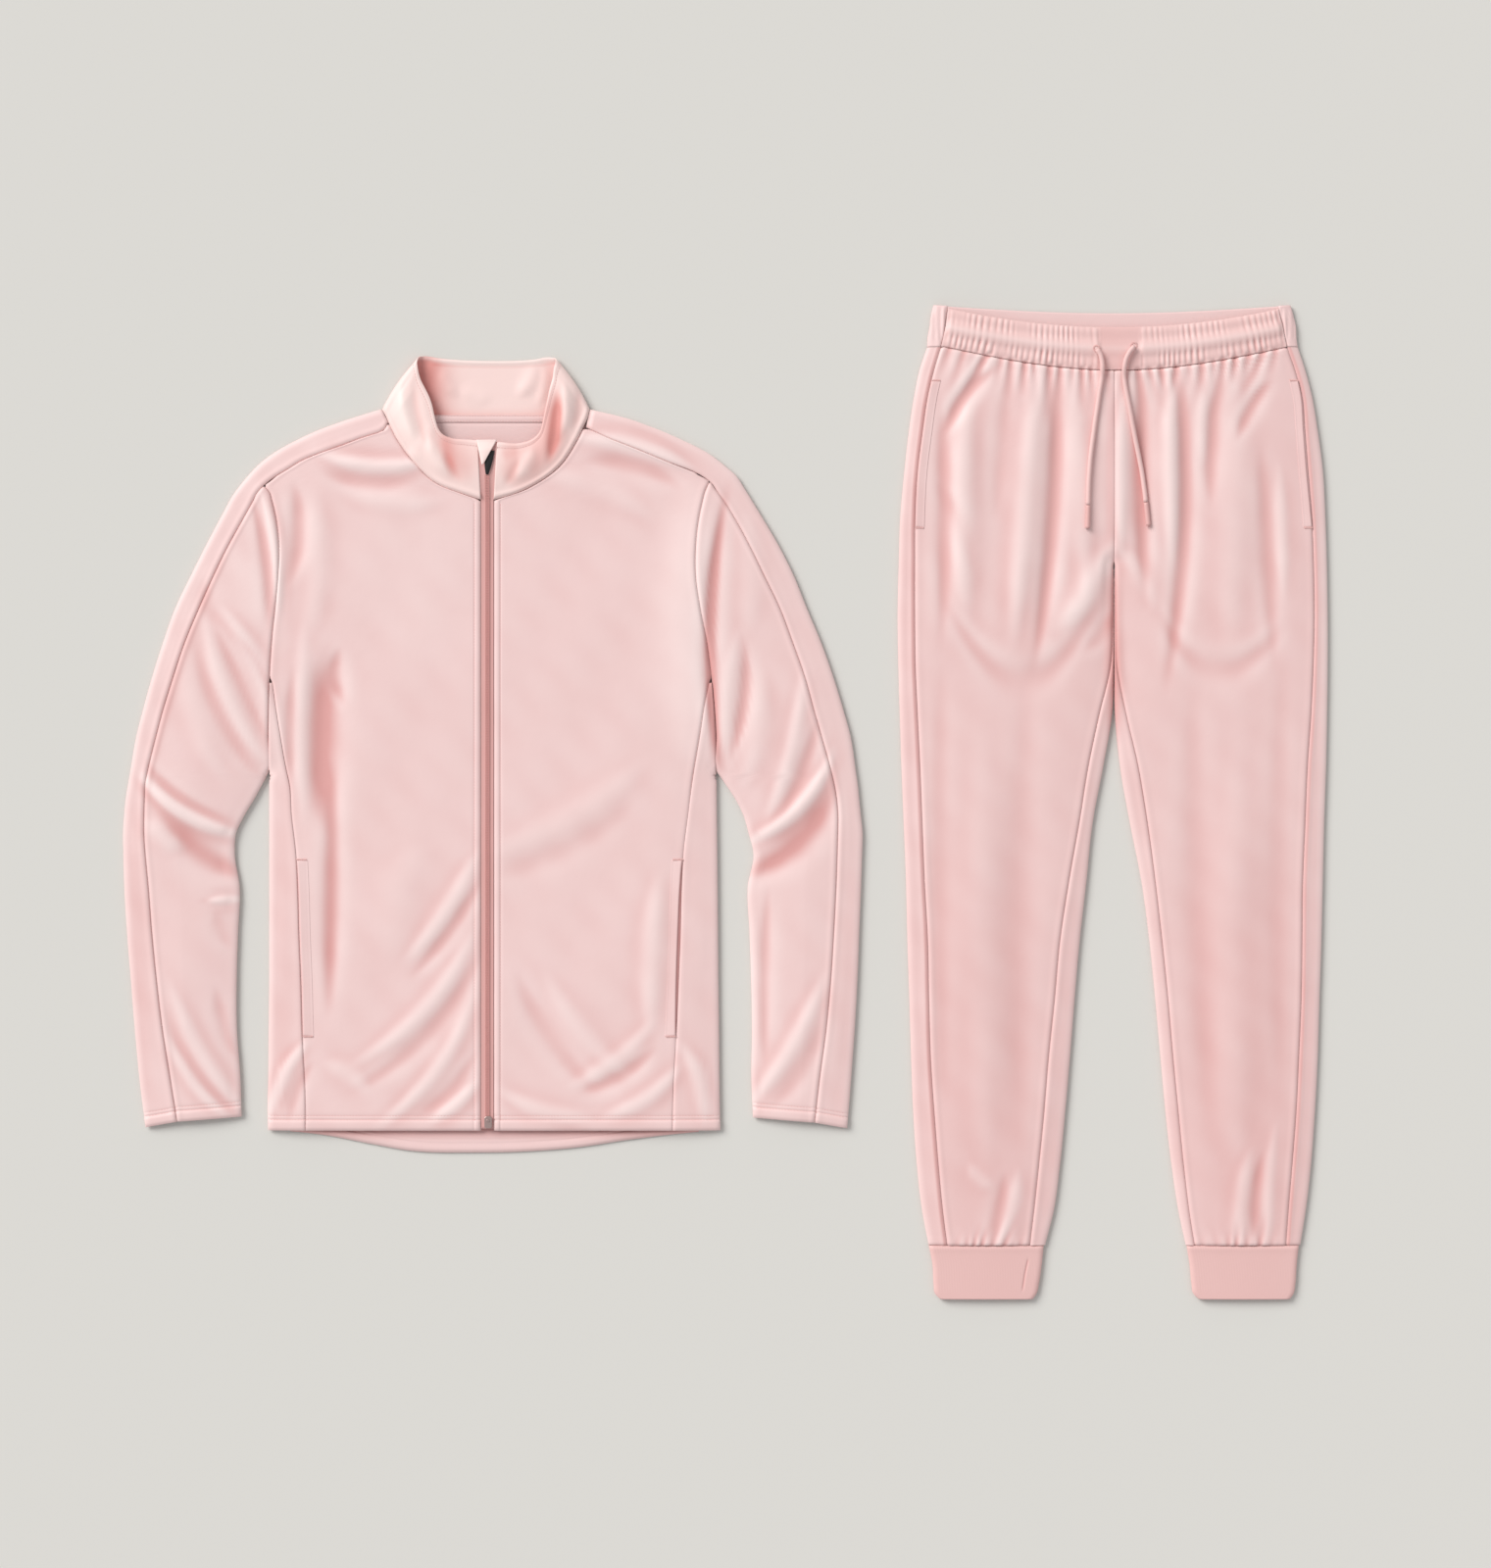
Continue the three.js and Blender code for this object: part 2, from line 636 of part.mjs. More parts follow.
// Strips: from the neck over the shoulder and down the sleeve, wrapped round its outer edge
const STRIP_STATIONS = [0, 1, 1.25, 1.5, 1.75, 2, 3];
const shiftBy = ([x, y], [dx, dy]) => [x + dx, y + dy];
const outward = (side) => {
  const { seam, edge } = NECK_ENDS[side];
  const length = Math.hypot(seam[0] - edge[0], seam[1] - edge[1]);
  const sign = side === "right" ? 1 : -1;
  return [(-sign * (seam[1] - edge[1])) / length, (sign * (seam[0] - edge[0])) / length];
};
const cuffY = (side, row, part) => row.y + CUFF_SLANTS[side][part] * smooth((row.y - 1060) / 84);
const stripSections = {};
for (const side of SIDES) {
  const away = outward(side).map((n) => (n * SEAM_GAP) / 2);
  stripSections[side] = [
    { seam: shiftBy(NECK_ENDS[side].seam, away), edge: shiftBy(NECK_ENDS[side].edge, away) },
    ...shoulderRows(side).map((row) => ({
      seam: [row.seam, row.y],
      edge: row.up ? edgePoint(row) : [row.edge, cuffY(side, row, "edge")],
    })),
  ].map((section) => ({ ...section, under: TURN_UNDER, top: jacketTop }));
  add(`shoulder_strip_${side}`, wrapped(stripSections[side], STRIP_STATIONS));
}

// Sleeves: the front goes round the inner edge below the armpit, and the back is flat beneath
const SLEEVE_STATIONS = [0, 0.25, 0.5, 0.75, 1, 1.25, 1.5, 1.75, 2, 3];
const beneath = (section, more = 0) => {
  const length = Math.hypot(section.seam[0] - section.edge[0], section.seam[1] - section.edge[1]);
  return mix(section.edge, section.seam, (section.under + more) / length);
};
const sleeveSections = {};
for (const side of SIDES) {
  sleeveSections[side] = sleeveRows(side).map((row) => ({
    seam: [row.seam, row.y],
    edge: [row.inner ?? row.arm, row.inner ? cuffY(side, row, "inner") : row.y],
    under: TURN_UNDER,
    top: jacketTop,
    topRow: !row.inner,
    ...turning[row.y],
  }));
  add(`sleeve_front_${side}`, wrapped(sleeveSections[side], SLEEVE_STATIONS));
}

// The lower layer's edges keep clear of the upper layer where it turns down at the armpit
const turnClear = { 790: 2.5, 794: EDGE_REACH + SEAM_GAP };
const inwardX = (side) => (side === "right" ? 1 : -1); // towards the zip
for (const side of SIDES) {
  const sections = stripSections[side].slice(SHOULDERS[side].length + 1);
  const strip = sections.map((section) => beneath(section, SEAM_GAP));
  const inner = LOWER_SLEEVES[side].map((row, i) => {
    const section = sleeveSections[side][UPPER_SLEEVES[side].length + i];
    const clear = turnClear[row.y] ?? TURN_UNDER + SEAM_GAP;
    return [section.edge[0] - inwardX(side) * clear, section.edge[1]];
  });
  const armhole = UPPER_SLEEVES[side].slice(1).map((row) => [row.arm - inwardX(side) * SEAM_GAP, row.y]);
  add(`sleeve_back_${side}`, plate([...strip, ...inner.reverse(), ...armhole.reverse()]));
}

// Jacket back: one flat panel beneath, from the neck seam to the dropped tail
const backHalf = (side) => {
  const shoulder = stripSections[side].slice(0, SHOULDERS[side].length + 2);
  const armhole = UPPER_SLEEVES[side].slice(1).map((row) => [row.arm + (inwardX(side) * SEAM_GAP) / 2, row.y]);
  const body = BODIES[side].slice(4).map((row) => {
    const clear = turnClear[row.y] ?? SIDE_UNDER + SEAM_GAP;
    return [row.edge + inwardX(side) * clear, row.y];
  });
  return [...shoulder.map((section) => beneath(section, SEAM_GAP)), ...armhole, ...body];
};
const tail = BACK_TAIL.map((point) => [point.x, point.y + (point.y > HEM_Y ? 0 : SEAM_GAP)]);
add(
  "jacket_back",
  plate([...backHalf("right"), ...tail, ...backHalf("left").reverse(), [590, NECK_SEAM_Y], [404, NECK_SEAM_Y]]),
);

// Collar: one band from the zip, over the front of the neck, round the side fold, behind the neck and back
const BAND_SHARES = [0, 0.25, 0.5, 0.75, 1];
const collarHeight = (low, high, f) => lerp(low, high, f) + COLLAR_BULGE * Math.sin(Math.PI * f);
const neckRows = (side) => [...SHOULDERS[side], ...UPPER_SLEEVES[side].slice(0, 3)];
const collarSections = [];
function collarFront(side) {
  return neckRows(side)
    .reverse()
    .map((row, i, all) => {
      const line = all.map((one) => [one.neck, one.y]);
      const x = i === 0 ? frontEdgeX[side] - inwardX(side) * 0.15 : row.neck + inwardX(side) * pulled(line, i);
      const base = i === 0 ? [x, row.y - SEAM_GAP] : [x, row.y];
      const low = jacketTop(row.neck, row.y);
      const share = i / (all.length - 1);
      const high = lerp(COLLAR_RIM, COLLAR_SIDE, share ** 2);
      const outer = BAND_SHARES.map((f) => [...mix(base, [row.rimX, row.rimY], f), collarHeight(low, high, f)]);
      return { outer, inner: outer.map(([px, py, pz]) => [px, py, pz - CLOTH]) };
    });
}
function collarFold(side) {
  const { seam, edge } = NECK_ENDS[side];
  const toCollar = outward(side).map((n) => (-n * SEAM_GAP) / 2);
  const low = jacketTop(...mix(edge, seam, 0.5));
  const bow = -3 * inwardX(side);
  return COLLAR_FOLDS[side].map(({ turn, rimX, rimY }) => {
    const [cos, sin] = [Math.cos((turn * Math.PI) / 180), Math.sin((turn * Math.PI) / 180)];
    const length = Math.hypot(seam[0] - edge[0], seam[1] - edge[1]);
    const foot = (s) => shiftBy(mix(edge, seam, s / length), toCollar);
    const skin = (inset) =>
      BAND_SHARES.map((f) => {
        const rise = lerp(low, COLLAR_SIDE, f) + 0.5 * COLLAR_BULGE * Math.sin(Math.PI * f);
        const start = foot(EDGE_REACH - (EDGE_REACH - inset) * cos);
        const [x, y] = mix(start, [rimX + inwardX(side) * inset * cos, rimY], f);
        const out = bow * cos * Math.sin(Math.PI * f);
        return [x + out, y, rise / 2 + (rise / 2 - inset) * sin];
      });
    return { outer: skin(0), inner: skin(CLOTH) };
  });
}
collarSections.push(...collarFront("right"), ...collarFold("right"));
for (const { x, rimX, rimY } of COLLAR_BACK) {
  const outer = BAND_SHARES.map((f) => [...mix([x, NECK_SEAM_Y - SEAM_GAP], [rimX, rimY], f), 0]);
  collarSections.push({ outer, inner: outer.map(([px, py]) => [px, py, CLOTH]) });
}
collarSections.push(...collarFold("left").reverse(), ...collarFront("left").reverse());
add(
  "collar",
  closedSkin(
    collarSections.map((row) => row.outer),
    collarSections.map((row) => row.inner),
  ),
);

// Neck tape over the seam between back and collar
const TAPE_WIDTH = 7;
const tapeTop = NECK_SEAM_Y - TAPE_WIDTH / 2;
add(
  "back_neck_tape",
  plate(
    [
      [408, tapeTop],
      [586, tapeTop],
      [588, tapeTop + TAPE_WIDTH],
      [406, tapeTop + TAPE_WIDTH],
    ],
    CLOTH + SEAM_GAP,
    1,
  ),
);

// Zip: two tapes in one line with the fronts and the collar, and the slider up at the top
const COLLAR_FOOT_Y = 511;
const COLLAR_TOP_Y = 452;
const zipLow = jacketTop(ZIP_LINE, COLLAR_FOOT_Y);
function zipHeight(x, y) {
  if (y >= COLLAR_FOOT_Y) return jacketTop(x, y) - ZIP_SINK;
  return collarHeight(zipLow, COLLAR_RIM, (COLLAR_FOOT_Y - y) / (COLLAR_FOOT_Y - COLLAR_TOP_Y)) - ZIP_SINK;
}
const ZIP_ROWS = [COLLAR_TOP_Y, 463, 475, 487, 499, COLLAR_FOOT_Y, 600, 690, 790, 870, 960, 1060, 1151];
for (const side of SIDES) {
  const near = ZIP_LINE - (inwardX(side) * SEAM_GAP) / 2;
  const far = frontEdgeX[side] + inwardX(side) * SEAM_GAP;
  const skin = ZIP_ROWS.map((y) => [far, near].map((x) => [x, y, zipHeight(x, y)]));
  add(`zip_tape_${side}`, slab(skin));
}
const SLIDER_HEIGHT = 2;
const SLIDER = table("y left right", [
  [464, 494.4, 502.6],
  [476, 494.8, 502.2],
  [487, 497.2, 499.4],
]);
const sliderSkin = SLIDER.map(({ y, left, right }) =>
  [left, right].map((x) => [x, y, zipHeight(ZIP_LINE, y) + SEAM_GAP + SLIDER_HEIGHT]),
);
add("zip_slider", slab(sliderSkin, SLIDER_HEIGHT), BLACK_METAL, 0.4, 0.8);

const GARAGE = table("y left right", [
  [451, 490, 507.5],
  [463, 491.3, 500.8],
  [475.5, 492.6, 494.4],
]);
const GARAGE_CLOTH = 1.2;
const garageLift = (y) => SEAM_GAP + 2.2 * smooth((y - 451) / 11);
const garageSkin = GARAGE.map(({ y, left, right }) =>
  even(2).map((f) => [lerp(left, right, f), y, zipHeight(ZIP_LINE, y) + ZIP_SINK + garageLift(y) + GARAGE_CLOTH]),
);
add("zip_garage", slab(garageSkin, GARAGE_CLOTH));

const BOX = { top: 1138, bottom: 1150.5, left: 494.3, right: 501.3, height: 2 };
const boxTop = zipHeight(ZIP_LINE, 1145) + 2 * SEAM_GAP + BOX.height;
const boxSkin = [BOX.top, BOX.bottom].map((y) => [BOX.left, BOX.right].map((x) => [x, y, boxTop]));
add("zip_box", slab(boxSkin, BOX.height), PALE_METAL, 0.35, 0.7);

// Pocket welts lie on the edge of the panel beside the pocket opening
const WELT_CLOTH = 1.2;
const JACKET_POCKET = { from: 877, to: 1057, width: 11 };
function welt(skin, line, width, toPanel) {
  return line.map(([x, y]) =>
    [0.6, width / 2, width].map((w) => {
      const at = x + toPanel * w;
      return [at, y, onSkin(skin, at, y) + SEAM_GAP + WELT_CLOTH];
    }),
  );
}
for (const side of SIDES) {
  const ys = [JACKET_POCKET.from, 905, 950, 1000, 1050, JACKET_POCKET.to];
  const line = ys.map((y) => [along(BODIES[side], "y", "side", y), y]);
  const skin = welt(fronts[side], line, JACKET_POCKET.width, inwardX(side));
  add(`jacket_pocket_welt_${side}`, slab(skin, WELT_CLOTH));
}

// Trousers. Rows near the waist follow its seam, which sags towards the centre front
const WAIST_MIDDLE = 1138;
const HALF_WAIST = 175;
const sagAt = (x) => WAIST_SAG * Math.cos((Math.PI / 2) * clamp01(Math.abs(x - WAIST_MIDDLE) / HALF_WAIST));
const sagged = (x, y) => y + sagAt(x) * smooth((450 - y) / (450 - WAIST_SEAM_Y));
const LEG_SHARES = even(12);
const GATHER_HEIGHT = 1.3;
const WAIST_GATHERS = { fadeY: 440, length: 80 };
const ANKLE_GATHERS = { fadeY: 1190, length: 70, share: 0.8 };
const gathered = (y) =>
  smooth((WAIST_GATHERS.fadeY - y) / WAIST_GATHERS.length) +
  ANKLE_GATHERS.share * smooth((y - ANKLE_GATHERS.fadeY) / ANKLE_GATHERS.length);
const legFronts = {};
for (const side of SIDES) {
  const outerLine = LEGS[side].map((row) => [row.seam, row.y]);
  const innerLine = LEGS[side].map((row) => [row.inseam ?? FLY_X, row.y]);
  const flat = topPanel(outerLine, innerLine, LEG_SHARES, () => 0);
  legFronts[side] = flat.map((row) =>
    row.map(([x, y], j) => {
      const placed = sagged(x, y);
      const inside = j > 0 && j < LEG_SHARES.length - 1;
      const gather = inside ? GATHER_HEIGHT * gathered(y) * (j % 2 ? 1 : -1) : 0;
      return [x, placed, Math.max(trouserTop(x, placed) + gather, LOWEST_TOP - 0.6)];
    }),
  );
  add(`leg_front_${side}`, slab(legFronts[side]));
}

// Side strips wrap the outer edge, and the leg backs lie beneath and wrap the inner edge to the inseam
const LEG_BACK_STATIONS = [0, 0.5, 1, 1.25, 1.5, 1.75, 2, 3];
const crotch = { 579: { from: 1.5 }, 584: { from: 1 } };
for (const side of SIDES) {
  const strips = LEGS[side].map((row) => ({
    seam: [row.seam, row.y],
    edge: [row.edge, row.y],
    under: TURN_UNDER,
    top: trouserTop,
  }));
  add(`leg_side_strip_${side}`, wrapped(strips, STRIP_STATIONS));

  const toFly = inwardX(side);
  const backs = LEGS[side].map((row) => {
    const edge = [row.inner ?? FLY_X, row.y];
    const inseam = row.inseam ?? FLY_X - toFly * 5;
    return {
      seam: [inseam, row.y],
      edge,
      under: Math.abs(edge[0] - row.edge) - TURN_UNDER - SEAM_GAP,
      top: trouserTop,
      flatRow: !row.inner,
      ...crotch[row.y],
    };
  });
  add(`leg_back_${side}`, wrapped(backs, LEG_BACK_STATIONS));
}

// Waistband back: beneath, and round both sides to the seams with the front
const waistShare = (x) => clamp01((x - WAIST[0].right) / (WAIST[0].left - WAIST[0].right));
const waistBackY = (x, y) =>
  y + WAIST_BACK_DIP * Math.sin(Math.PI * waistShare(x)) * smooth((WAIST_SEAM_Y - y) / 42);
const WAIST_STATIONS = [0, 1, 1.25, 1.5, 1.75, 2, 2.5, 3];
const waistRows = WAIST.map((row) => {
  const halves = SIDES.map((side) => {
    const seam = side === "right" ? row.seamRight : row.seamLeft;
    const edge = [row[side], row.y];
    return wrapSection(
      { seam: [seam, row.y], edge, under: Math.abs(WAIST_MIDDLE - row[side]), top: trouserTop },
      WAIST_STATIONS,
    );
  });
  const joined = (key) =>
    [...halves[0][key], ...halves[1][key].slice(0, -1).reverse()].map(([x, y, z]) => [x, waistBackY(x, y), z]);
  return { outer: joined("outer"), inner: joined("inner") };
});
add(
  "waistband_back",
  closedSkin(
    waistRows.map((row) => row.outer),
    waistRows.map((row) => row.inner),
  ),
  PINK_RIB,
);

// Waistband front: gathered on its elastic into ribs, with a smooth ridge between two rows of them
const WAIST_PROFILE = table("down rib ridge", [
  [0, 0.9, 0],
  [0.4, 0.2, 2.6],
  [0.72, 1, 0.8],
  [1, 0.7, 0],
]);
const frontTopY = (x) => 313 + WAIST_FRONT_DIP * Math.sin(Math.PI * clamp01((x - 962) / 350)) ** 0.8;
const INSERT = { middle: 1141.5, half: 20 }; // flat part between the eyelets
const ribFade = (x) => smooth((Math.abs(x - INSERT.middle) - INSERT.half) / 6);
const waistSkin = WAIST_PROFILE.map(({ down, rib, ridge }) => {
  const y0 = lerp(314, WAIST_SEAM_Y, down);
  const start = along(WAIST, "y", "seamRight", y0) + SEAM_GAP / 2;
  const end = along(WAIST, "y", "seamLeft", y0) - SEAM_GAP / 2;
  return even(RIB_COUNT * 2).map((share, j) => {
    const x = lerp(start, end, share);
    const y = lerp(frontTopY(x), sagged(x, WAIST_SEAM_Y) - SEAM_GAP, down);
    const inside = smooth(share / 0.04) * smooth((1 - share) / 0.04);
    const ribbed = RIB_HEIGHT * rib * ribFade(x) * (j % 2 ? 1 : -1);
    const z = trouserTop(x, Math.max(y, 322)) + inside * (ridge + ribbed);
    return [x, y, Math.max(z, LOWEST_TOP)];
  });
});
add("waistband_front", slab(waistSkin), PINK_RIB);

// Trouser pocket welts
const TROUSER_POCKET = { from: 389, to: 539, width: 9 };
for (const side of SIDES) {
  const ys = [TROUSER_POCKET.from, 405, 440, 480, 510, TROUSER_POCKET.to];
  const line = ys.map((y) => [along(LEGS[side], "y", "seam", y), y]);
  const skin = welt(legFronts[side], line, TROUSER_POCKET.width, inwardX(side));
  add(`trouser_pocket_welt_${side}`, slab(skin, WELT_CLOTH));
}

// Ankle cuffs: a knitted tube pressed flat
const CUFF_HEIGHT = 6.4;
const CUFF_ROUND = 6;
for (const side of SIDES) {
  const skin = (inset) =>
    CUFFS[side].map(({ y, outer, inner }) => {
      const [low, high] = [Math.min(outer, inner), Math.max(outer, inner)];
      const ends = [
        [low + CUFF_ROUND, 1],
        [high - CUFF_ROUND, -1],
      ];
      return ends.flatMap(([middle, sign]) =>
        [-90, -45, 0, 45, 90].map((turn) => {
          const angle = (turn * sign * Math.PI) / 180;
          const x = middle - sign * (CUFF_ROUND - inset) * Math.cos(angle);
          return [x, y, CUFF_HEIGHT / 2 + (CUFF_HEIGHT / 2 - inset) * Math.sin(angle)];
        }),
      );
    });
  add(`ankle_cuff_${side}`, closedSkin(skin(0), skin(CLOTH), true), PINK_RIB);
}

// Drawcord: two free ends lie on the waistband and the legs
function trouserSurface(x, y) {
  if (y < sagged(x, WAIST_SEAM_Y)) return Math.max(...[-3, 0, 3].map((dx) => trouserTop(x + dx, y) + 3.4));
  const onRight = onSkin(legFronts.right, Math.min(x, FLY_X), y);
  return Math.max(onRight, onSkin(legFronts.left, Math.max(x, FLY_X), y));
}
function cordPath(points) {
  const lift = CORD_WIDTH / 2 + 0.9;
  const placed = points.map(({ x, y }) => {
    const near = [-3, 0, 3].flatMap((dx) => [-4, 0, 4].map((dy) => trouserSurface(x + dx, y + dy)));
    return new THREE.Vector3(...toPart([x, y, Math.max(...near) + lift]));
  });
  return new THREE.CatmullRomCurve3(placed, false, "centripetal");
}
const cordRound = (width) => new THREE.Shape().absarc(0, 0, width / 2, 0, 2 * Math.PI);
for (const side of SIDES) {
  const extrude = (points, width, steps) =>
    new THREE.ExtrudeGeometry(cordRound(width), {
      extrudePath: cordPath(points),
      steps,
      curveSegments: 4,
      bevelEnabled: false,
    });
  add(`drawcord_end_${side}`, extrude(CORDS[side].route, CORD_WIDTH, 16), PINK_CORD);
  add(`drawcord_tip_${side}`, extrude(CORDS[side].tip, CORD_WIDTH + 0.3, 3), PINK_CORD, 0.4);
}

// The origin is the middle of the outline, on the surface it lies on
const extent = new THREE.Box3().setFromObject(tracksuit);
const centre = extent.getCenter(new THREE.Vector3());
tracksuit.position.set(-centre.x, -centre.y, -extent.min.z);

export default tracksuit;
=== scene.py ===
# A knit tracksuit laid flat on its back: a zip jacket, and beside it drawcord trousers with ankle cuffs.
# Plan places are in mm from the top left corner of the layout, x to the right and y down the garment.
import math

import bmesh
import bpy
import numpy as np
from mathutils import Matrix


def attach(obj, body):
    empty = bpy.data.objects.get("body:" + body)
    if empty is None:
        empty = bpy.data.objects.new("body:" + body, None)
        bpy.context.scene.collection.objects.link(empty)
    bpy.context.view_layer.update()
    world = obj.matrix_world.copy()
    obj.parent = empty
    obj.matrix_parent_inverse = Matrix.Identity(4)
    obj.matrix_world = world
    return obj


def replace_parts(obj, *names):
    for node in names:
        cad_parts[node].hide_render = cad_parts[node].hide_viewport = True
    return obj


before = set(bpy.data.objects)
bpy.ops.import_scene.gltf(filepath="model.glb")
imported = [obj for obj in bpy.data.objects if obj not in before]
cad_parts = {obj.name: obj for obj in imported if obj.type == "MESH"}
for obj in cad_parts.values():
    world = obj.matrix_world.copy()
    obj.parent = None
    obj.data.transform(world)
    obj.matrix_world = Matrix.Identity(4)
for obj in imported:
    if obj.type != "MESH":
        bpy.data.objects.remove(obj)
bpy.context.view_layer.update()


# Camera, table and light
# The set lies on a pale matt table and is seen from straight above.
# A soft lamp at the upper left draws the folds, and the room fills the shade.
MM = 0.001
MIDDLE_X, MIDDLE_Y = 740, 820.5
VIEW_X, VIEW_Y = 760.5, 800
VIEW_HEIGHT = 1.6
LENS_MM, SENSOR_MM = 85, 36
TABLE_REACH, TABLE_Z = 6, -0.0006


def linear(hex_colour):
    channels = [int(hex_colour[i : i + 2], 16) / 255 for i in (1, 3, 5)]
    return [c / 12.92 if c <= 0.04045 else ((c + 0.055) / 1.055) ** 2.4 for c in channels] + [1]


def place(x, y, z=0.0):
    return ((x - MIDDLE_X) * MM, (MIDDLE_Y - y) * MM, z * MM)


def node(tree, kind, settings=None, links=None, **values):
    """Adds a shader node, with its properties, the sockets linked to it and its plain values."""
    made = tree.nodes.new(kind)
    for name, value in (settings or {}).items():
        setattr(made, name, value)
    for name, value in values.items():
        made.inputs[name.replace("_", " ")].default_value = value
    for name, source in (links or {}).items():
        tree.links.new(source, made.inputs[name])
    return made


def plain(name, colour, roughness, metallic=0.0):
    """An even material, for all that isn't knitted."""
    made = bpy.data.materials.new(name)
    made.use_nodes = True
    shader = made.node_tree.nodes["Principled BSDF"]
    shader.inputs["Base Color"].default_value = linear(colour)
    shader.inputs["Roughness"].default_value = roughness
    shader.inputs["Metallic"].default_value = metallic
    return made


def show(name, data):
    made = bpy.data.objects.new(name, data)
    bpy.context.scene.collection.objects.link(made)
    return made


def show_mesh(name, bm, material):
    mesh = bpy.data.meshes.new(name)
    bm.to_mesh(mesh)
    bm.free()
    mesh.materials.append(material)
    return show(name, mesh)


camera_data = bpy.data.cameras.new("camera")
camera_data.lens = LENS_MM
camera_data.sensor_width = SENSOR_MM
camera = show("camera", camera_data)
camera.location = place(VIEW_X, VIEW_Y, VIEW_HEIGHT / MM * LENS_MM / SENSOR_MM)
bpy.context.scene.camera = camera

table_top = bmesh.new()
bmesh.ops.create_grid(table_top, x_segments=1, y_segments=1, size=TABLE_REACH)
bmesh.ops.translate(table_top, verts=table_top.verts, vec=(0, 0, TABLE_Z))
show_mesh("table_top", table_top, plain("pale_matt_paint", "#dad9d4", 0.9))

window = bpy.data.lights.new("window", "SUN")
window.energy = 2.45
window.angle = math.radians(34)
window.color = linear("#fffdfb")[:3]
window_light = show("window", window)
window_light.location = (-2.6, 2.1, 2.5)
window_light.rotation_euler = (-window_light.location).to_track_quat("-Z", "Y").to_euler()
room = bpy.data.worlds.new("room")
bpy.context.scene.world = room
room.use_nodes = True
room.node_tree.nodes["Background"].inputs["Color"].default_value = linear("#fcfbfc")
room.node_tree.nodes["Background"].inputs["Strength"].default_value = 0.56
bpy.context.scene.view_settings.view_transform = "Standard"


# Jacket body
# Fronts, back and side panels are cut from a smooth double knit and overlocked together.
# The side panels wrap round the body's edge, and the back ends in a dropped tail with a turned hem.
CLOTH = 1.1  # shown wall of one layer
SEAM_GAP = 0.14
EDGE_HEIGHT = 6.6
EDGE_REACH = 8.0
TURN_UNDER = 16.0
SIDE_UNDER = 22.0
LOWEST_TOP = 4.2
BODY_PUFF = 3.2
PUFF_WIDTH = 26.0
ZIP_LINE = 497.8
FRONT_EDGE = 6.7
HEM_Y = 1153
SIDES = {"right": 1, "left": -1}  # the wearer's side, and the way towards the middle
GRID_STEP = 2.9
PAINTED_SHADING_REACHES = (6, 12)
# The most painted shade and painted highlight that a piece's colour takes
DARKEST_PAINTED_SHADE, PALEST_PAINTED_HIGHLIGHT = 0.9, 0.7
SIDE_TOP = 697  # where the side panels start
NECK_FOOT = 511  # where the zip meets the collar


def table(names, rows):
    """A garment's sections as named columns, one row for each section."""
    return {name: np.array(column, float) for name, column in zip(names.split(), zip(*rows))}


def both_sides(names, right, left):
    """The same table for the wearer's right and left."""
    return {"right": table(names, right), "left": table(names, left)}


def smooth(f):
    f = np.clip(f, 0, 1)
    return f * f * (3 - 2 * f)


def bump(off, width):
    """A soft rise, 1 high where off is 0 and nearly gone two widths away."""
    return np.exp(-((off / width) ** 2))


def flowing(keys, values):
    """A smooth line through a table's values."""
    steps = np.diff(keys)
    rises = np.diff(values) / steps
    inner = (rises[1:] * steps[:-1] + rises[:-1] * steps[1:]) / (steps[:-1] + steps[1:])
    slopes = np.concatenate([rises[:1], inner, rises[-1:]])

    def at(k):
        k = np.clip(k, keys[0], keys[-1])
        i = np.clip(np.searchsorted(keys, k, side="right") - 1, 0, len(steps) - 1)
        t = (k - keys[i]) / steps[i]
        start, end = values[i], values[i + 1]
        bend_start, bend_end = slopes[i] * steps[i], slopes[i + 1] * steps[i]
        cubic = (2 * start + bend_start - 2 * end + bend_end) * t**3
        square = (-3 * start - 2 * bend_start + 3 * end - bend_end) * t**2
        return cubic + square + bend_start * t + start

    return at


def x_at(lines, name, y):
    """Where a table's named line runs at each y."""
    return flowing(lines["y"], lines[name])(y)


SHOULDERS = both_sides(
    "y seam edge up neck rim_x rim_y",
    right=[
        (434, 395.4, 388.5, 15.6, 398, 430, 388), (441, 390, 381, 20.7, 401.5, 434.5, 397),
        (447, 371, 363, 21.1, 404.5, 438.5, 405), (455, 350, 342, 22.1, 409.7, 442, 415),
        (462, 330, 321.5, 21.3, 414.5, 444, 424), (470, 310, 300, 19, 421, 446, 432),
        (479, 295, 283, 18.6, 429, 448.5, 439), (488, 280, 267.5, 16.5, 438, 453, 444.5),
    ],
    left=[
        (439, 602.3, 606, 20, 594.2, 564, 388), (444, 613.2, 618, 22.3, 592, 562, 395),
        (449, 624, 630, 24.5, 589.5, 560.5, 401), (455, 639.3, 646, 26, 586, 559, 408),
        (460, 652, 659, 26.2, 583.2, 557.5, 415), (466, 666.5, 674, 26.6, 579.3, 556, 422),
        (472, 681, 690, 25.6, 575, 554.5, 430), (483, 710, 722, 20.6, 564, 551.5, 441),
    ],
)
# The neck line's last places before the zip, and the collar's foot and rim there
NECK_FRONTS = both_sides(
    "y neck foot_y foot_x rim_x rim_y",
    right=[
        (497, 452, 497, 452, 463, 448.5), (503, 468, 503, 468, 475, 449.5),
        (511, 491, 510.7, 491.2, 488.5, 450.5),
    ],
    left=[
        (493, 549.5, 493, 549.5, 544, 449), (503, 530, 503, 530, 529, 453.5),
        (511, 504.6, 510.7, 504.4, 508, 452),
    ],
)
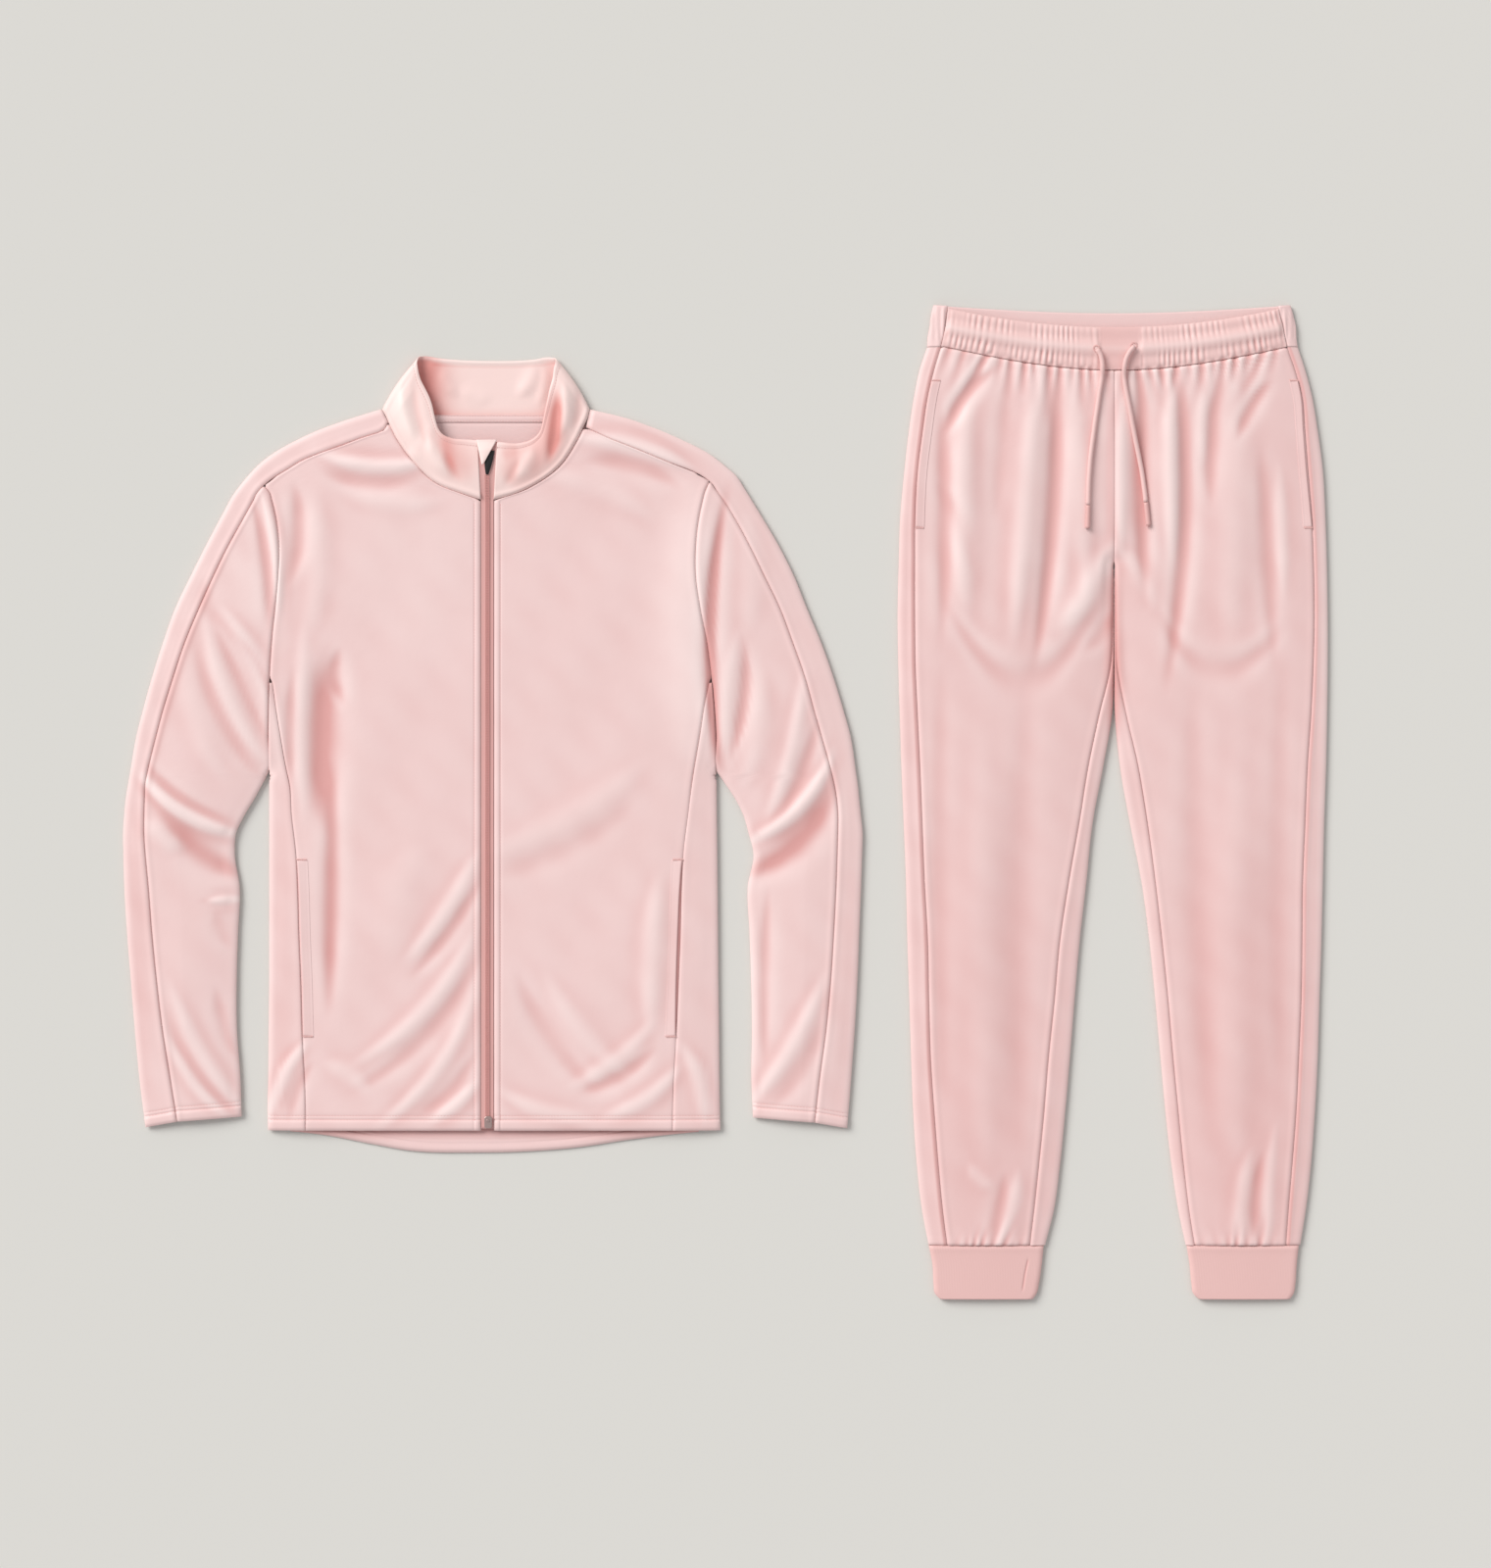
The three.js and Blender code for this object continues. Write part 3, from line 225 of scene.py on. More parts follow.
# Where the strip's seam and the outer edge start at the neck
NECK_ENDS = {"right": ((397, 432), (390, 418)), "left": ((598.3, 437), (602, 418))}
SLEEVES = both_sides(
    "y seam edge up arm",
    right=[
        (497, 269, 254.5, 12.4, 270.6), (503, 263.5, 245, 7, 276), (511, 259.5, 238.5, 6, 278.5),
        (530, 249, 228, 6, 283), (560, 232.5, 211.5, 5, 286), (590, 218, 196, 4, 285),
        (620, 204.5, 180.5, 2, 282), (655, 190, 167.5, 1, 278.5), (697, 176, 154, 0, 276),
        (725, 167.3, 146.3, 0, 275.5), (750, 160.7, 140, 0, 275), (787, 151.6, 133.5, 0, 275),
        (800, 149, 131.3, 0, 268.2), (815, 148.5, 128.8, 0, 260.2), (832, 148, 127.2, 0, 250),
        (850, 148, 126, 0, 241.5), (870, 149.3, 126.4, 0, 240), (905, 152.5, 127.3, 0, 245),
        (950, 156, 130, 0, 243.5), (1000, 161, 134, 0, 242), (1050, 167, 138, 0, 242.3),
        (1100, 175, 143, 0, 245.7), (1144, 182, 149, 0, 247),
    ],
    left=[
        (493, 725, 742, 15.4, 723.4), (503, 732.1, 752.5, 15.5, 719), (511, 738, 760, 11.6, 717),
        (530, 749.8, 775.5, 5.3, 713), (560, 766, 794, 4, 709.8), (590, 780.6, 809.5, 3, 710),
        (620, 795.1, 822.4, 1, 714.3), (655, 808.3, 837.4, 0, 721), (697, 822.8, 852.1, 0, 726.3),
        (725, 830.3, 860.5, 0, 728.8), (750, 837.5, 867.4, 0, 730.3), (787, 847.8, 873.1, 0, 731),
        (800, 850.9, 875, 0, 739.8), (815, 853.4, 876.5, 0, 749.7), (832, 854.8, 878.2, 0, 758.2),
        (850, 854.6, 880, 0, 763.4), (870, 854.1, 879.5, 0, 768.4), (905, 852.9, 878.4, 0, 762.7),
        (950, 850.6, 876.6, 0, 764.4), (1000, 847.4, 874.7, 0, 766.1), (1050, 842.7, 871.9, 0, 767),
        (1100, 836.1, 868.1, 0, 766.3), (1145, 831, 864.2, 0, 768),
    ],
)
ARMPIT_Y = 787
BODIES = both_sides(
    "y edge side",
    right=[
        (697, 276, 278.7), (725, 275.5, 282.5), (750, 275, 286.5), (787, 275, 293), (800, 275, 296),
        (832, 275, 298.4), (870, 275, 302.9), (905, 275, 304.8), (950, 275, 306), (1000, 275, 308),
        (1050, 274.5, 309.4), (1100, 274, 312), (1130, 273.4, 313), (HEM_Y, 274, 313),
    ],
    left=[
        (697, 726.3, 723.6), (725, 728.8, 718.1), (750, 730.3, 714.3), (787, 731, 708), (800, 731.1, 706),
        (832, 731.4, 701.9), (870, 731.9, 697.2), (905, 732.2, 695.5), (950, 732.6, 694.4),
        (1000, 733, 692.5), (1050, 733.6, 690.3), (1100, 734, 687.2), (1130, 734.5, 686.2),
        (HEM_Y, 735, 686),
    ],
)
TAIL = table(
    "x y",
    [
        (274, 1153), (300, 1154.5), (337, 1159), (378, 1167), (418, 1174), (485, 1176), (534, 1175),
        (587, 1171), (641, 1163), (681, 1158), (710, 1155), (735, 1153),
    ],
)
# Creases as they lie: a line between two places, how far it bows sideways, its half width and its height
JACKET_FOLDS = table(
    "x1 y1 x2 y2 bend wide high",
    [
        (508, 868, 650, 786, 8, 17, 1.1), (512, 892, 636, 830, 6, 15, -0.7),
        (486, 876, 420, 976, -4, 10, 1.4), (487, 904, 426, 990, -4, 8, -1),
        (482, 956, 372, 1080, -13, 10, 1.4), (485, 984, 372, 1106, -13, 10, -1.1),
        (482, 1020, 396, 1142, -12, 9, 1.4), (484, 1078, 430, 1136, -6, 8, -0.9),
        (486, 1104, 442, 1142, -4, 7, 1.3), (334, 1084, 376, 1112, -3, 10, 0.7),
        (424, 868, 402, 980, 6, 24, 1), (334, 672, 332, 836, 4, 19, -3.6), (346, 664, 350, 716, 4, 8, -1.2),
        (341, 800, 337, 1020, 0, 10, -1.8), (312, 640, 311, 830, 2, 9, 1),
        (303, 500, 300, 588, -4, 9, -1.6), (300, 690, 298, 800, 2, 7, -1.2),
        (322, 505, 320, 640, -4, 14, 1.2), (712, 500, 708, 760, 4, 32, 2.8),
        (672, 900, 664, 1044, 2, 13, 1.8), (530, 1000, 604, 1108, 7, 13, -1.3),
        (560, 1000, 640, 1096, 8, 12, 0.9), (690, 1092, 620, 1138, -7, 9, 1.4),
        (664, 1074, 598, 1112, -5, 8, -1.2), (664, 1046, 586, 1106, -6, 9, 1),
        (516, 1116, 600, 1140, 5, 9, 1), (332, 466, 438, 472, 7, 8, 2.3), (334, 484, 420, 492, 6, 9, -0.9),
        (352, 500, 450, 512, 6, 12, 0.9), (592, 448, 700, 476, -6, 10, 2.2),
        (600, 470, 690, 494, -6, 10, -1.1), (560, 484, 660, 524, -6, 14, 1),
        (276, 1136, 311, 1066, -4, 7, 1.6), (296, 1142, 318, 1086, -3, 6, -0.7),
        (722, 1146, 700, 1070, 4, 9, 1.4),
    ],
)
SLEEVE_FOLDS = table(
    "x1 y1 x2 y2 bend wide high",
    [
        (152, 780, 224, 833, 7, 6, -0.5), (150, 797, 243, 851, 9, 8, 2.8),
        (172, 836, 250, 894, 6, 15, -2.2), (150, 838, 190, 864, 3, 12, 1), (214, 919, 250, 917, 0, 4, 1.2),
        (222, 930, 236, 966, 3, 8, -0.4), (212, 640, 268, 772, 8, 9, 1.3), (202, 664, 262, 788, 8, 9, -0.8),
        (232, 626, 273, 722, -8, 8, 1.1), (226, 652, 271, 750, 0, 6, -0.7),
        (246, 650, 276, 708, -3, 5, -0.7), (190, 680, 226, 790, 6, 13, 0.7),
        (208, 590, 226, 640, 4, 10, -0.4), (262, 520, 276, 640, -4, 6, -1.3),
        (270, 508, 285, 626, -5, 5, 1.8), (178, 1012, 244, 1126, 6, 9, 1.1),
        (174, 1040, 236, 1132, 8, 8, -0.6), (176, 1064, 228, 1134, 5, 7, 0.9),
        (222, 1010, 243, 1080, 3, 8, -0.8), (766, 858, 847, 774, 12, 8, 2.3),
        (832, 742, 800, 828, -4, 8, -1.3), (820, 690, 784, 834, -6, 8, 1.2),
        (762, 894, 850, 806, 13, 16, -2.1), (738, 520, 734, 775, 11, 8, -2.6),
        (751, 650, 740, 764, 4, 6, 0.8), (760, 660, 748, 766, -5, 6, -1.9),
        (776, 690, 760, 800, -5, 12, 1.2), (762, 520, 764, 640, -3, 14, 0.9),
        (838, 1004, 769, 1122, -6, 10, 1.7), (838, 1048, 790, 1126, -6, 10, -0.8),
        (783, 915, 780, 1078, 2, 7, -1.2),
    ],
)

# Painted shade, or a painted highlight where deep is below 0, put into the knit's colour beyond what is
# painted from its creases: shade in folds, at the elbows, beside seams and along the armhole, and painted
# sheen on the chest and upper sleeve
JACKET_PAINTED_SHADES = table(
    "x1 y1 x2 y2 bend wide deep",
    [
        (336, 672, 333, 850, 2, 17, 0.62), (339, 840, 336, 1020, 0, 10, 0.4),
        (693, 490, 695, 800, 0, 32, -0.3), (736, 520, 734, 800, 11, 7, 0.7),
        (250, 530, 151, 815, 12, 5, 0.4), (168, 836, 248, 892, 5, 13, 0.34),
        (762, 890, 848, 812, 12, 13, 0.62), (136, 830, 150, 1130, 0, 13, 0.24),
        (874, 900, 856, 1130, 0, 12, 0.12), (236, 560, 262, 640, -4, 16, -0.25),
        (290, 800, 290, 1140, 0, 12, 0.16), (420, 480, 430, 690, 0, 70, -0.14),
    ],
)


def distance_to(line, x, y):
    """How far each place lies from a line of points."""
    nearest = np.full(np.shape(x), 1e9)
    for (ax, ay), (bx, by) in zip(line[:-1], line[1:]):
        length2 = (bx - ax) ** 2 + (by - ay) ** 2
        f = np.clip(((x - ax) * (bx - ax) + (y - ay) * (by - ay)) / length2, 0, 1)
        nearest = np.minimum(nearest, np.hypot(x - ax - f * (bx - ax), y - ay - f * (by - ay)))
    return nearest


def creases(folds, gain=1.15):
    """Soft ridges and troughs, each bowed and fading out at both ends."""

    def at(x, y):
        z = np.zeros(np.shape(x))
        for x1, y1, x2, y2, bend, wide, high in zip(*folds.values()):
            length = math.hypot(x2 - x1, y2 - y1)
            ux, uy = (x2 - x1) / length, (y2 - y1) / length
            t = ((x - x1) * ux + (y - y1) * uy) / length
            bow = bend * 4 * t * (1 - t)
            width = wide * (0.6 + 0.4 * np.sin(np.pi * np.clip(t, 0, 1)))
            off = ((x - x1) * -uy + (y - y1) * ux - bow) / width
            fade = smooth((t + 0.15) / 0.45) * smooth((1.15 - t) / 0.45)
            z += gain * high * fade * np.exp(-np.clip(off * off, 0, 50))
        return z

    return at


def slack(x, y):
    """Cloth never lies quite flat: long low waves that cross each other."""
    waves = np.sin(x / 13.7 + y / 31.0) + np.sin(x / 23.1 - y / 17.3 + 1.3)
    waves = waves + np.sin(y / 27.9 + x / 61.0 + 0.4)
    return 0.13 * waves + 0.1 * np.sin(x / 7.9 - y / 9.4) * np.sin(x / 37.0 + y / 29.0)


def lying(edges, reliefs, painted_shades):
    """How a garment's upper layer lies: its height, and the shade and highlight painted into its colour
    there.

    It is round at its edges, a little puffed between, and creased. Shade is painted into its colour in its
    hollows, and a highlight on its crests and round its edges."""

    def from_edge(x, y):
        d = np.full(np.shape(x), 1e9)
        for line in edges:
            d = np.minimum(d, distance_to(line, x, y))
        return d

    def creased(x, y):
        return sum(relief(x, y) for relief in reliefs)

    # Painted shade in the hollows between creases, a painted highlight on their crests and round the edges,
    # and the listed painted shades
    def painted_shading(x, y):
        steps = [(way * reach, 0) for reach in PAINTED_SHADING_REACHES for way in (-1, 1)]
        steps += [(0, step) for step, _ in steps]
        around = sum(creased(x + dx, y + dy) for dx, dy in steps) / len(steps)
        turned = np.clip(1 - from_edge(x, y) / EDGE_REACH, 0, 1)
        return 0.7 * np.tanh(1.3 * (around - creased(x, y))) - 0.25 * turned + creases(painted_shades, 1)(x, y)

    def height(x, y):
        d = from_edge(x, y)
        rim = np.clip(d / EDGE_REACH, 0, 1)
        z = EDGE_HEIGHT / 2 * (1 + np.sqrt(1 - (1 - rim) ** 2))
        z = z + BODY_PUFF * (1 - np.exp(-np.clip(d - EDGE_REACH, 0, 1e3) / PUFF_WIDTH))
        z = z + smooth((d - EDGE_REACH * 0.5) / 10) * creased(x, y)
        return np.maximum(z, np.where(d < EDGE_REACH, 3.3, LOWEST_TOP))

    return height, painted_shading


def line_of(xs, ys):
    return list(zip(xs, ys))


jacket_edges = []
for side in SIDES:
    shoulder, sleeve, body = SHOULDERS[side], SLEEVES[side], BODIES[side]
    outer = [NECK_ENDS[side][1]] + line_of(shoulder["edge"], shoulder["y"] - shoulder["up"])
    jacket_edges.append(outer + line_of(sleeve["edge"], sleeve["y"] - sleeve["up"]))
    below = sleeve["y"] >= ARMPIT_Y
    jacket_edges.append(line_of(sleeve["arm"][below], sleeve["y"][below]))
    below = body["y"] >= ARMPIT_Y
    jacket_edges.append(line_of(body["edge"][below], body["y"][below]))
jacket_reliefs = [creases(JACKET_FOLDS), creases(SLEEVE_FOLDS), slack]
jacket_lie, jacket_painted_shading = lying(jacket_edges, jacket_reliefs, JACKET_PAINTED_SHADES)


SEAM_STOPS = (0, 0.5, 1.0, 1.6, 2.4, 3.6)
HEM_STOPS = (0, 0.5, 1.2, 2.2, 4, 7, 9.4, 10.4, 11.0, 11.6, 12.4, 13.8, 14.6, 15.2, 15.8, 16.8)
PLACKET_STOPS = (0, 0.4, 0.9, 1.6, 2.8, 4.4, 5.4, 6.0, 6.5, 7.0, 7.6, 8.8)


def spread(width, step=GRID_STEP, start=SEAM_STOPS, end=SEAM_STOPS):
    """Shares across a panel, close together beside its seams and stitched lines so that they can sink in."""
    count = max(2, int(round((width - start[-1] - end[-1]) / step)))
    middle = np.linspace(start[-1], width - end[-1], count + 1)[1:-1]
    return np.concatenate([start, middle, width - np.array(end[::-1])]) / width


def seam_dip(away, deep=1.0):
    """Cloth sinks at a seam and is a little raised beside it by the seam allowance."""
    return deep * (-1.1 * bump(away, 1.1) + 0.4 * bump(away - 3.8, 2.2))


def polyester_knit(name, colour, deep, painted_shade_colour="#d99a96", painted_highlight_colour="#fbe9e6", wale_mm=0.9, roughness=0.5):
    """Smooth circular-knitted polyester: fine wales and a satin face give a soft, broad sheen."""
    made = bpy.data.materials.new(name)
    made.use_nodes = True
    tree = made.node_tree
    shader = tree.nodes["Principled BSDF"]
    shader.inputs["Roughness"].default_value = roughness
    shader.inputs["IOR"].default_value = 1.48
    shader.inputs["Sheen Weight"].default_value = 0.45
    shader.inputs["Sheen Roughness"].default_value = 0.4
    shader.inputs["Sheen Tint"].default_value = linear("#fff1ee")
    uv = node(tree, "ShaderNodeUVMap", {"uv_map": "cut"}).outputs["UV"]
    cloud = node(tree, "ShaderNodeTexNoise", links={"Vector": uv}, Scale=14.0, Detail=3.0)
    tint = node(tree, "ShaderNodeMix", {"data_type": "RGBA"}, {"Factor": cloud.outputs["Fac"]})
    tint.inputs["A"].default_value = linear(deep)
    tint.inputs["B"].default_value = linear(colour)
    cloth_colour = tint.outputs["Result"]
    # Painted highlight and painted shade: the knit's colour is mixed towards a pale colour and a deep one by
    # two shares that each piece carries
    for attribute, painted_colour in (("crest", painted_highlight_colour), ("hollow", painted_shade_colour)):
        share = node(tree, "ShaderNodeAttribute", {"attribute_name": attribute})
        folded = node(tree, "ShaderNodeMix", {"data_type": "RGBA"}, {"Factor": share.outputs["Fac"]})
        tree.links.new(cloth_colour, folded.inputs["A"])
        folded.inputs["B"].default_value = linear(painted_colour)
        cloth_colour = folded.outputs["Result"]
    tree.links.new(cloth_colour, shader.inputs["Base Color"])
    wales = node(
        tree,
        "ShaderNodeTexWave",
        {"bands_direction": "X", "wave_profile": "SIN"},
        {"Vector": uv},
        Scale=math.pi / 10 / (wale_mm * MM),
        Distortion=0.6,
        Detail=1.0,
    )
    fuzz = node(tree, "ShaderNodeTexNoise", links={"Vector": uv}, Scale=900.0, Detail=2.0)
    soft = node(tree, "ShaderNodeTexNoise", links={"Vector": uv}, Scale=60.0, Detail=3.0)
    fine = node(tree, "ShaderNodeMath", {"operation": "ADD"})
    tree.links.new(wales.outputs["Fac"], fine.inputs[0])
    tree.links.new(fuzz.outputs["Fac"], fine.inputs[1])
    heights = {"Height": fine.outputs["Value"]}
    knit_bump = node(tree, "ShaderNodeBump", links=heights, Strength=0.16, Distance=0.0001)
    heights = {"Height": soft.outputs["Fac"], "Normal": knit_bump.outputs["Normal"]}
    wavy_bump = node(tree, "ShaderNodeBump", links=heights, Strength=0.25, Distance=0.0008)
    tree.links.new(wavy_bump.outputs["Normal"], shader.inputs["Normal"])
    return made


KNIT = polyester_knit("smooth_polyester_knit", "#f0d1cf", "#edcbc8")


def grid_of(points, cut, **shares):
    """A smooth grid through rows of points, with each vertex's place on the cut and its named shares."""
    rows, columns = points.shape[:2]
    bm = bmesh.new()
    bmesh.ops.create_grid(bm, x_segments=columns - 1, y_segments=rows - 1, size=0.5, calc_uvs=False)
    uv_layer = bm.loops.layers.uv.new("cut")
    for name in shares:
        bm.verts.layers.float.new(name)
    layers = [(bm.verts.layers.float[name], values) for name, values in shares.items()]
    place_of = {}
    for vertex in bm.verts:
        j = int(round((vertex.co.x + 0.5) * (columns - 1)))
        i = int(round((0.5 - vertex.co.y) * (rows - 1)))
        place_of[vertex.index] = (i, j)
        vertex.co = place(*points[i, j])
        for layer, values in layers:
            vertex[layer] = float(values[i, j])
    for face in bm.faces:
        face.smooth = True
        for loop in face.loops:
            loop[uv_layer].uv = cut[place_of[loop.vert.index]] * MM
    return bm


def make_cloth(
    name, node_name, x, y, z, material=KNIT, slot="knit", wall=CLOTH, painted_shading=0, ring=False, on="jacket_back"
):
    """Lays a grid of cloth over the given places for a solid, and gives it its wall. What it is held on is
    not used.

    Shade is painted into its knit's colour where the shading given is above 0, and a highlight where it is
    below."""
    hollow = np.clip(painted_shading + 0 * z, 0, DARKEST_PAINTED_SHADE)
    crest = np.clip(-painted_shading + 0 * z, 0, PALEST_PAINTED_HIGHLIGHT)
    along = np.zeros_like(x)
    down = np.zeros_like(x)
    step_across = np.sqrt(np.diff(x, axis=1) ** 2 + np.diff(y, axis=1) ** 2 + np.diff(z, axis=1) ** 2)
    step_down = np.hypot(np.diff(x, axis=0), np.diff(y, axis=0))
    along[:, 1:] = np.cumsum(step_across, axis=1)
    down[1:, :] = np.cumsum(step_down.mean(axis=1))[:, None]
    bm = grid_of(np.stack([x, y, z], axis=2), np.stack([along, -down], axis=2), hollow=hollow, crest=crest)
    if ring:
        bmesh.ops.remove_doubles(bm, verts=bm.verts, dist=1e-6)
    bm.normal_update()
    upper = [face for face in bm.faces if face.calc_center_median().z > 0.003]
    if sum(face.normal.z * face.calc_area() for face in upper) < 0:
        bmesh.ops.reverse_faces(bm, faces=bm.faces)
    made = show_mesh(name, bm, material)
    wall_maker = made.modifiers.new("wall", "SOLIDIFY")
    wall_maker.thickness = wall * MM
    wall_maker.offset = -1
    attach(made, "root")
    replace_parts(made, node_name)


def rows_between(top, bottom, step=GRID_STEP, start=(0,), end=SEAM_STOPS):
    return top + (bottom - top) * spread(bottom - top, step, start, end)


HEM_ROWS = 11, 15.2


def hem_relief(up):
    """A turned hem is two layers thick up to its coverstitch, two sunk rows, and its lower edge is round."""
    lower, upper = HEM_ROWS
    rows = -0.75 * bump(up - lower, 0.8) - 0.4 * bump(up - upper, 0.7)
    band = 0.9 * smooth((11.2 - up) / 1.2) * smooth((up + 1.5) / 5)
    return band + rows - 1.3 * bump(np.clip(up, 0, None), 1.6)


def between(start, end, shares):
    """Rows of x from one line to another."""
    return start[:, None] + (end - start)[:, None] * shares[None, :]


def top_panel(y, outer_x, inner_x, lie, outer_deep, step=GRID_STEP, end=SEAM_STOPS):
    """An upper panel between two seams, in rows of the same y."""
    shares = spread(float(np.abs(inner_x - outer_x).max()), step, end=end)
    way = np.sign(inner_x - outer_x)
    start = outer_x + way * SEAM_GAP / 2
    end_x = inner_x - way * SEAM_GAP / 2
    x = between(start, end_x, shares)
    y = y[:, None] + 0 * x
    across = np.abs(end_x - start)[:, None]
    z = lie(x, y) + seam_dip(across * shares, outer_deep[:, None]) + seam_dip(across * (1 - shares))
    return x, y, z


POCKET_TOP, POCKET_END = 877, 1057
POCKET_GAPE = {"right": 0.6, "left": 2.4}
TOPSTITCH = 6.5
for side, inward in SIDES.items():
    shoulder, sleeve, body = SHOULDERS[side], SLEEVES[side], BODIES[side]
    y = rows_between(shoulder["y"][0], HEM_Y, end=HEM_STOPS)
    neck_y = np.append(shoulder["y"], NECK_FRONTS[side]["y"])
    neck_x = np.append(shoulder["neck"], NECK_FRONTS[side]["neck"])
    zip_edge = ZIP_LINE - inward * FRONT_EDGE
    arm = flowing(sleeve["y"], sleeve["arm"])
    side_seam = flowing(body["y"], body["side"])
    strip_seam = flowing(shoulder["y"], shoulder["seam"])
    corner_y = sleeve["y"][0]
    upper = strip_seam(y) + (arm(corner_y) - strip_seam(corner_y)) * smooth((y - shoulder["y"][-1]) / 9)
    outer_x = np.where(y < corner_y, upper, np.where(y < SIDE_TOP, arm(y), side_seam(y)))
    blend = smooth((y - SIDE_TOP + 7) / 8)
    rounded = arm(y) * (1 - blend) + side_seam(SIDE_TOP + 1) * blend
    outer_x = np.where(np.abs(y - SIDE_TOP + 3) < 4, rounded, outer_x)
    inner_x = np.where(y < NECK_FOOT, flowing(neck_y, neck_x)(y), zip_edge)
    soft_seam = 1 - 0.5 * smooth((y - ARMPIT_Y - 3) / 40) - 0.3 * smooth((y - POCKET_END) / 20)
    x, y, z = top_panel(y, outer_x, inner_x, jacket_lie, soft_seam, end=PLACKET_STOPS)
    z = z + hem_relief(HEM_Y - y)
    from_seam = np.abs(x - outer_x[:, None])
    mouth = smooth((y - POCKET_TOP) / 12) * smooth((POCKET_END - y) / 12)
    mouth = mouth * POCKET_GAPE[side] * (from_seam < 3.6)
    z = z - 0.35 * mouth
    # Painted shade in the pocket's open mouth beside the seam
    painted_shading = jacket_painted_shading(x, y) + 0.3 * mouth
    from_topstitch = np.abs(x - ZIP_LINE) - FRONT_EDGE - TOPSTITCH
    z = z - np.where(y > NECK_FOOT + 1, 0.5 * bump(from_topstitch, 0.7), 0)
    make_cloth(f"front_panel_{side}", f"jacket_front_{side}", x, y, z, painted_shading=painted_shading)


def column(values):
    return np.asarray(values, float)[:, None]


def wrapped_panel(
    y, seam_x, edge_x, up, under, lie, top_rows=None, last=None, first=None, columns=(10, 12, 4), deep=1.0
):
    """A panel from its seam to a free edge, round it and back beneath.

    Its path runs 0 to 1 on top, 1 to 2 round the edge and 2 to 3 beneath, from first to last in each row."""
    on_top, turning, below = columns
    near = 1 - (1 - np.linspace(0, 1, on_top)) ** 0.75
    path = np.concatenate([near[:-1], np.linspace(1, 2, turning), np.linspace(2, 3, below)[1:]])
    first = np.zeros_like(y) if first is None else first
    last = np.full_like(y, 3.0) if last is None else last
    length = np.hypot(seam_x - edge_x, up)
    way_x, way_y = column((seam_x - edge_x) / length), column(up / length)
    length, under = column(length), column(np.broadcast_to(under, y.shape))
    half = SEAM_GAP / 2
    reach = np.minimum(EDGE_REACH, length * 0.6)
    q = column(first) + column(last - first) * path[None, :] / 3
    turn = (1.5 - q) * np.pi
    s = np.where(q < 1, length - half + (reach - length + half) * q, reach * (1 - np.cos(turn)))
    s = np.where(q > 2, reach + (under - reach) * (q - 2), s)
    if top_rows is not None:
        q = np.where(column(top_rows), path[None, :] / 2, q)
        outer = reach + (half - reach) * (q - 1) * 2
        flat = np.where(q < 1, length - half + (reach - length + half) * q, outer)
        s = np.where(column(top_rows), flat, s)
    x = column(edge_x) + way_x * s
    flat_y = column(y - up) + way_y * s
    rise = lie(column(edge_x) + way_x * reach, column(y - up) + way_y * reach)
    z = np.where(q < 1, lie(x, flat_y), rise / 2 * (1 + np.sin(np.clip(turn, -np.pi / 2, np.pi / 2))))
    z = np.where(q > 2, 0.05, z)
    if top_rows is not None:
        z = np.where(column(top_rows), lie(x, flat_y), z)
    dip = seam_dip(length - half - s, deep) * (q < 1.6)
    return x, flat_y, z + dip


def open_below(y):
    """Down to the armpit a panel ends in a seam on top, and below it the panel wraps round the edge."""
    return dict(top_rows=y <= ARMPIT_Y, last=1.5 + 1.5 * smooth((y - ARMPIT_Y) / 14))


for side, body in BODIES.items():
    y = rows_between(body["y"][0], HEM_Y, 3.0, end=HEM_STOPS)
    side_x, edge_x = x_at(body, "side", y), x_at(body, "edge", y)
    x, y, z = wrapped_panel(y, side_x, edge_x, 0 * y, SIDE_UNDER, jacket_lie, deep=0.45, **open_below(y))
    z = z + np.where(z > 3, hem_relief(HEM_Y - y), 0)
    make_cloth(f"side_panel_{side}", f"jacket_side_panel_{side}", x, y, z, painted_shading=jacket_painted_shading(x, y))

# The back lies flat beneath, and its tail shows below the front hem
TAIL_DROP, TAIL_START = 23, 1100
back_rows = rows_between(427.6, HEM_Y + TAIL_DROP, 8.0, end=HEM_STOPS)
shares = spread(460, 7.0)
tail_y = flowing(TAIL["x"], TAIL["y"])
outlines = []
for side, inward in SIDES.items():
    shoulder, sleeve, body = SHOULDERS[side], SLEEVES[side], BODIES[side]
    line_y = np.append(shoulder["y"] - shoulder["up"] * 0.35, sleeve["y"][:1])
    line_x = np.append(shoulder["edge"] + inward * 15, sleeve["arm"][:1])
    arm_y, arm_x = sleeve["y"][1:12], sleeve["arm"][1:12]
    low_y = np.array([800, HEM_Y])
    low_x = np.array([body["edge"][4], body["edge"][-1]]) + inward * (SIDE_UNDER + SEAM_GAP)
    ys = np.concatenate([line_y, arm_y, low_y])
    outlines.append(np.interp(back_rows, ys, np.concatenate([line_x, arm_x, low_x])))
x = between(*outlines, shares)
drop = tail_y(x) - HEM_Y
y = back_rows[:, None] + 0 * x
longer = (HEM_Y + drop - TAIL_START) / (HEM_Y + TAIL_DROP - TAIL_START)
y = np.where(y > TAIL_START, TAIL_START + (y - TAIL_START) * longer, y)
up = HEM_Y + drop - y
z = 1.3 + 2.2 * smooth((y - HEM_Y + 6) / 12) * smooth(up / 3)
z = z + 0.5 * hem_relief(up + 1.5) * smooth((24 - up) / 4)
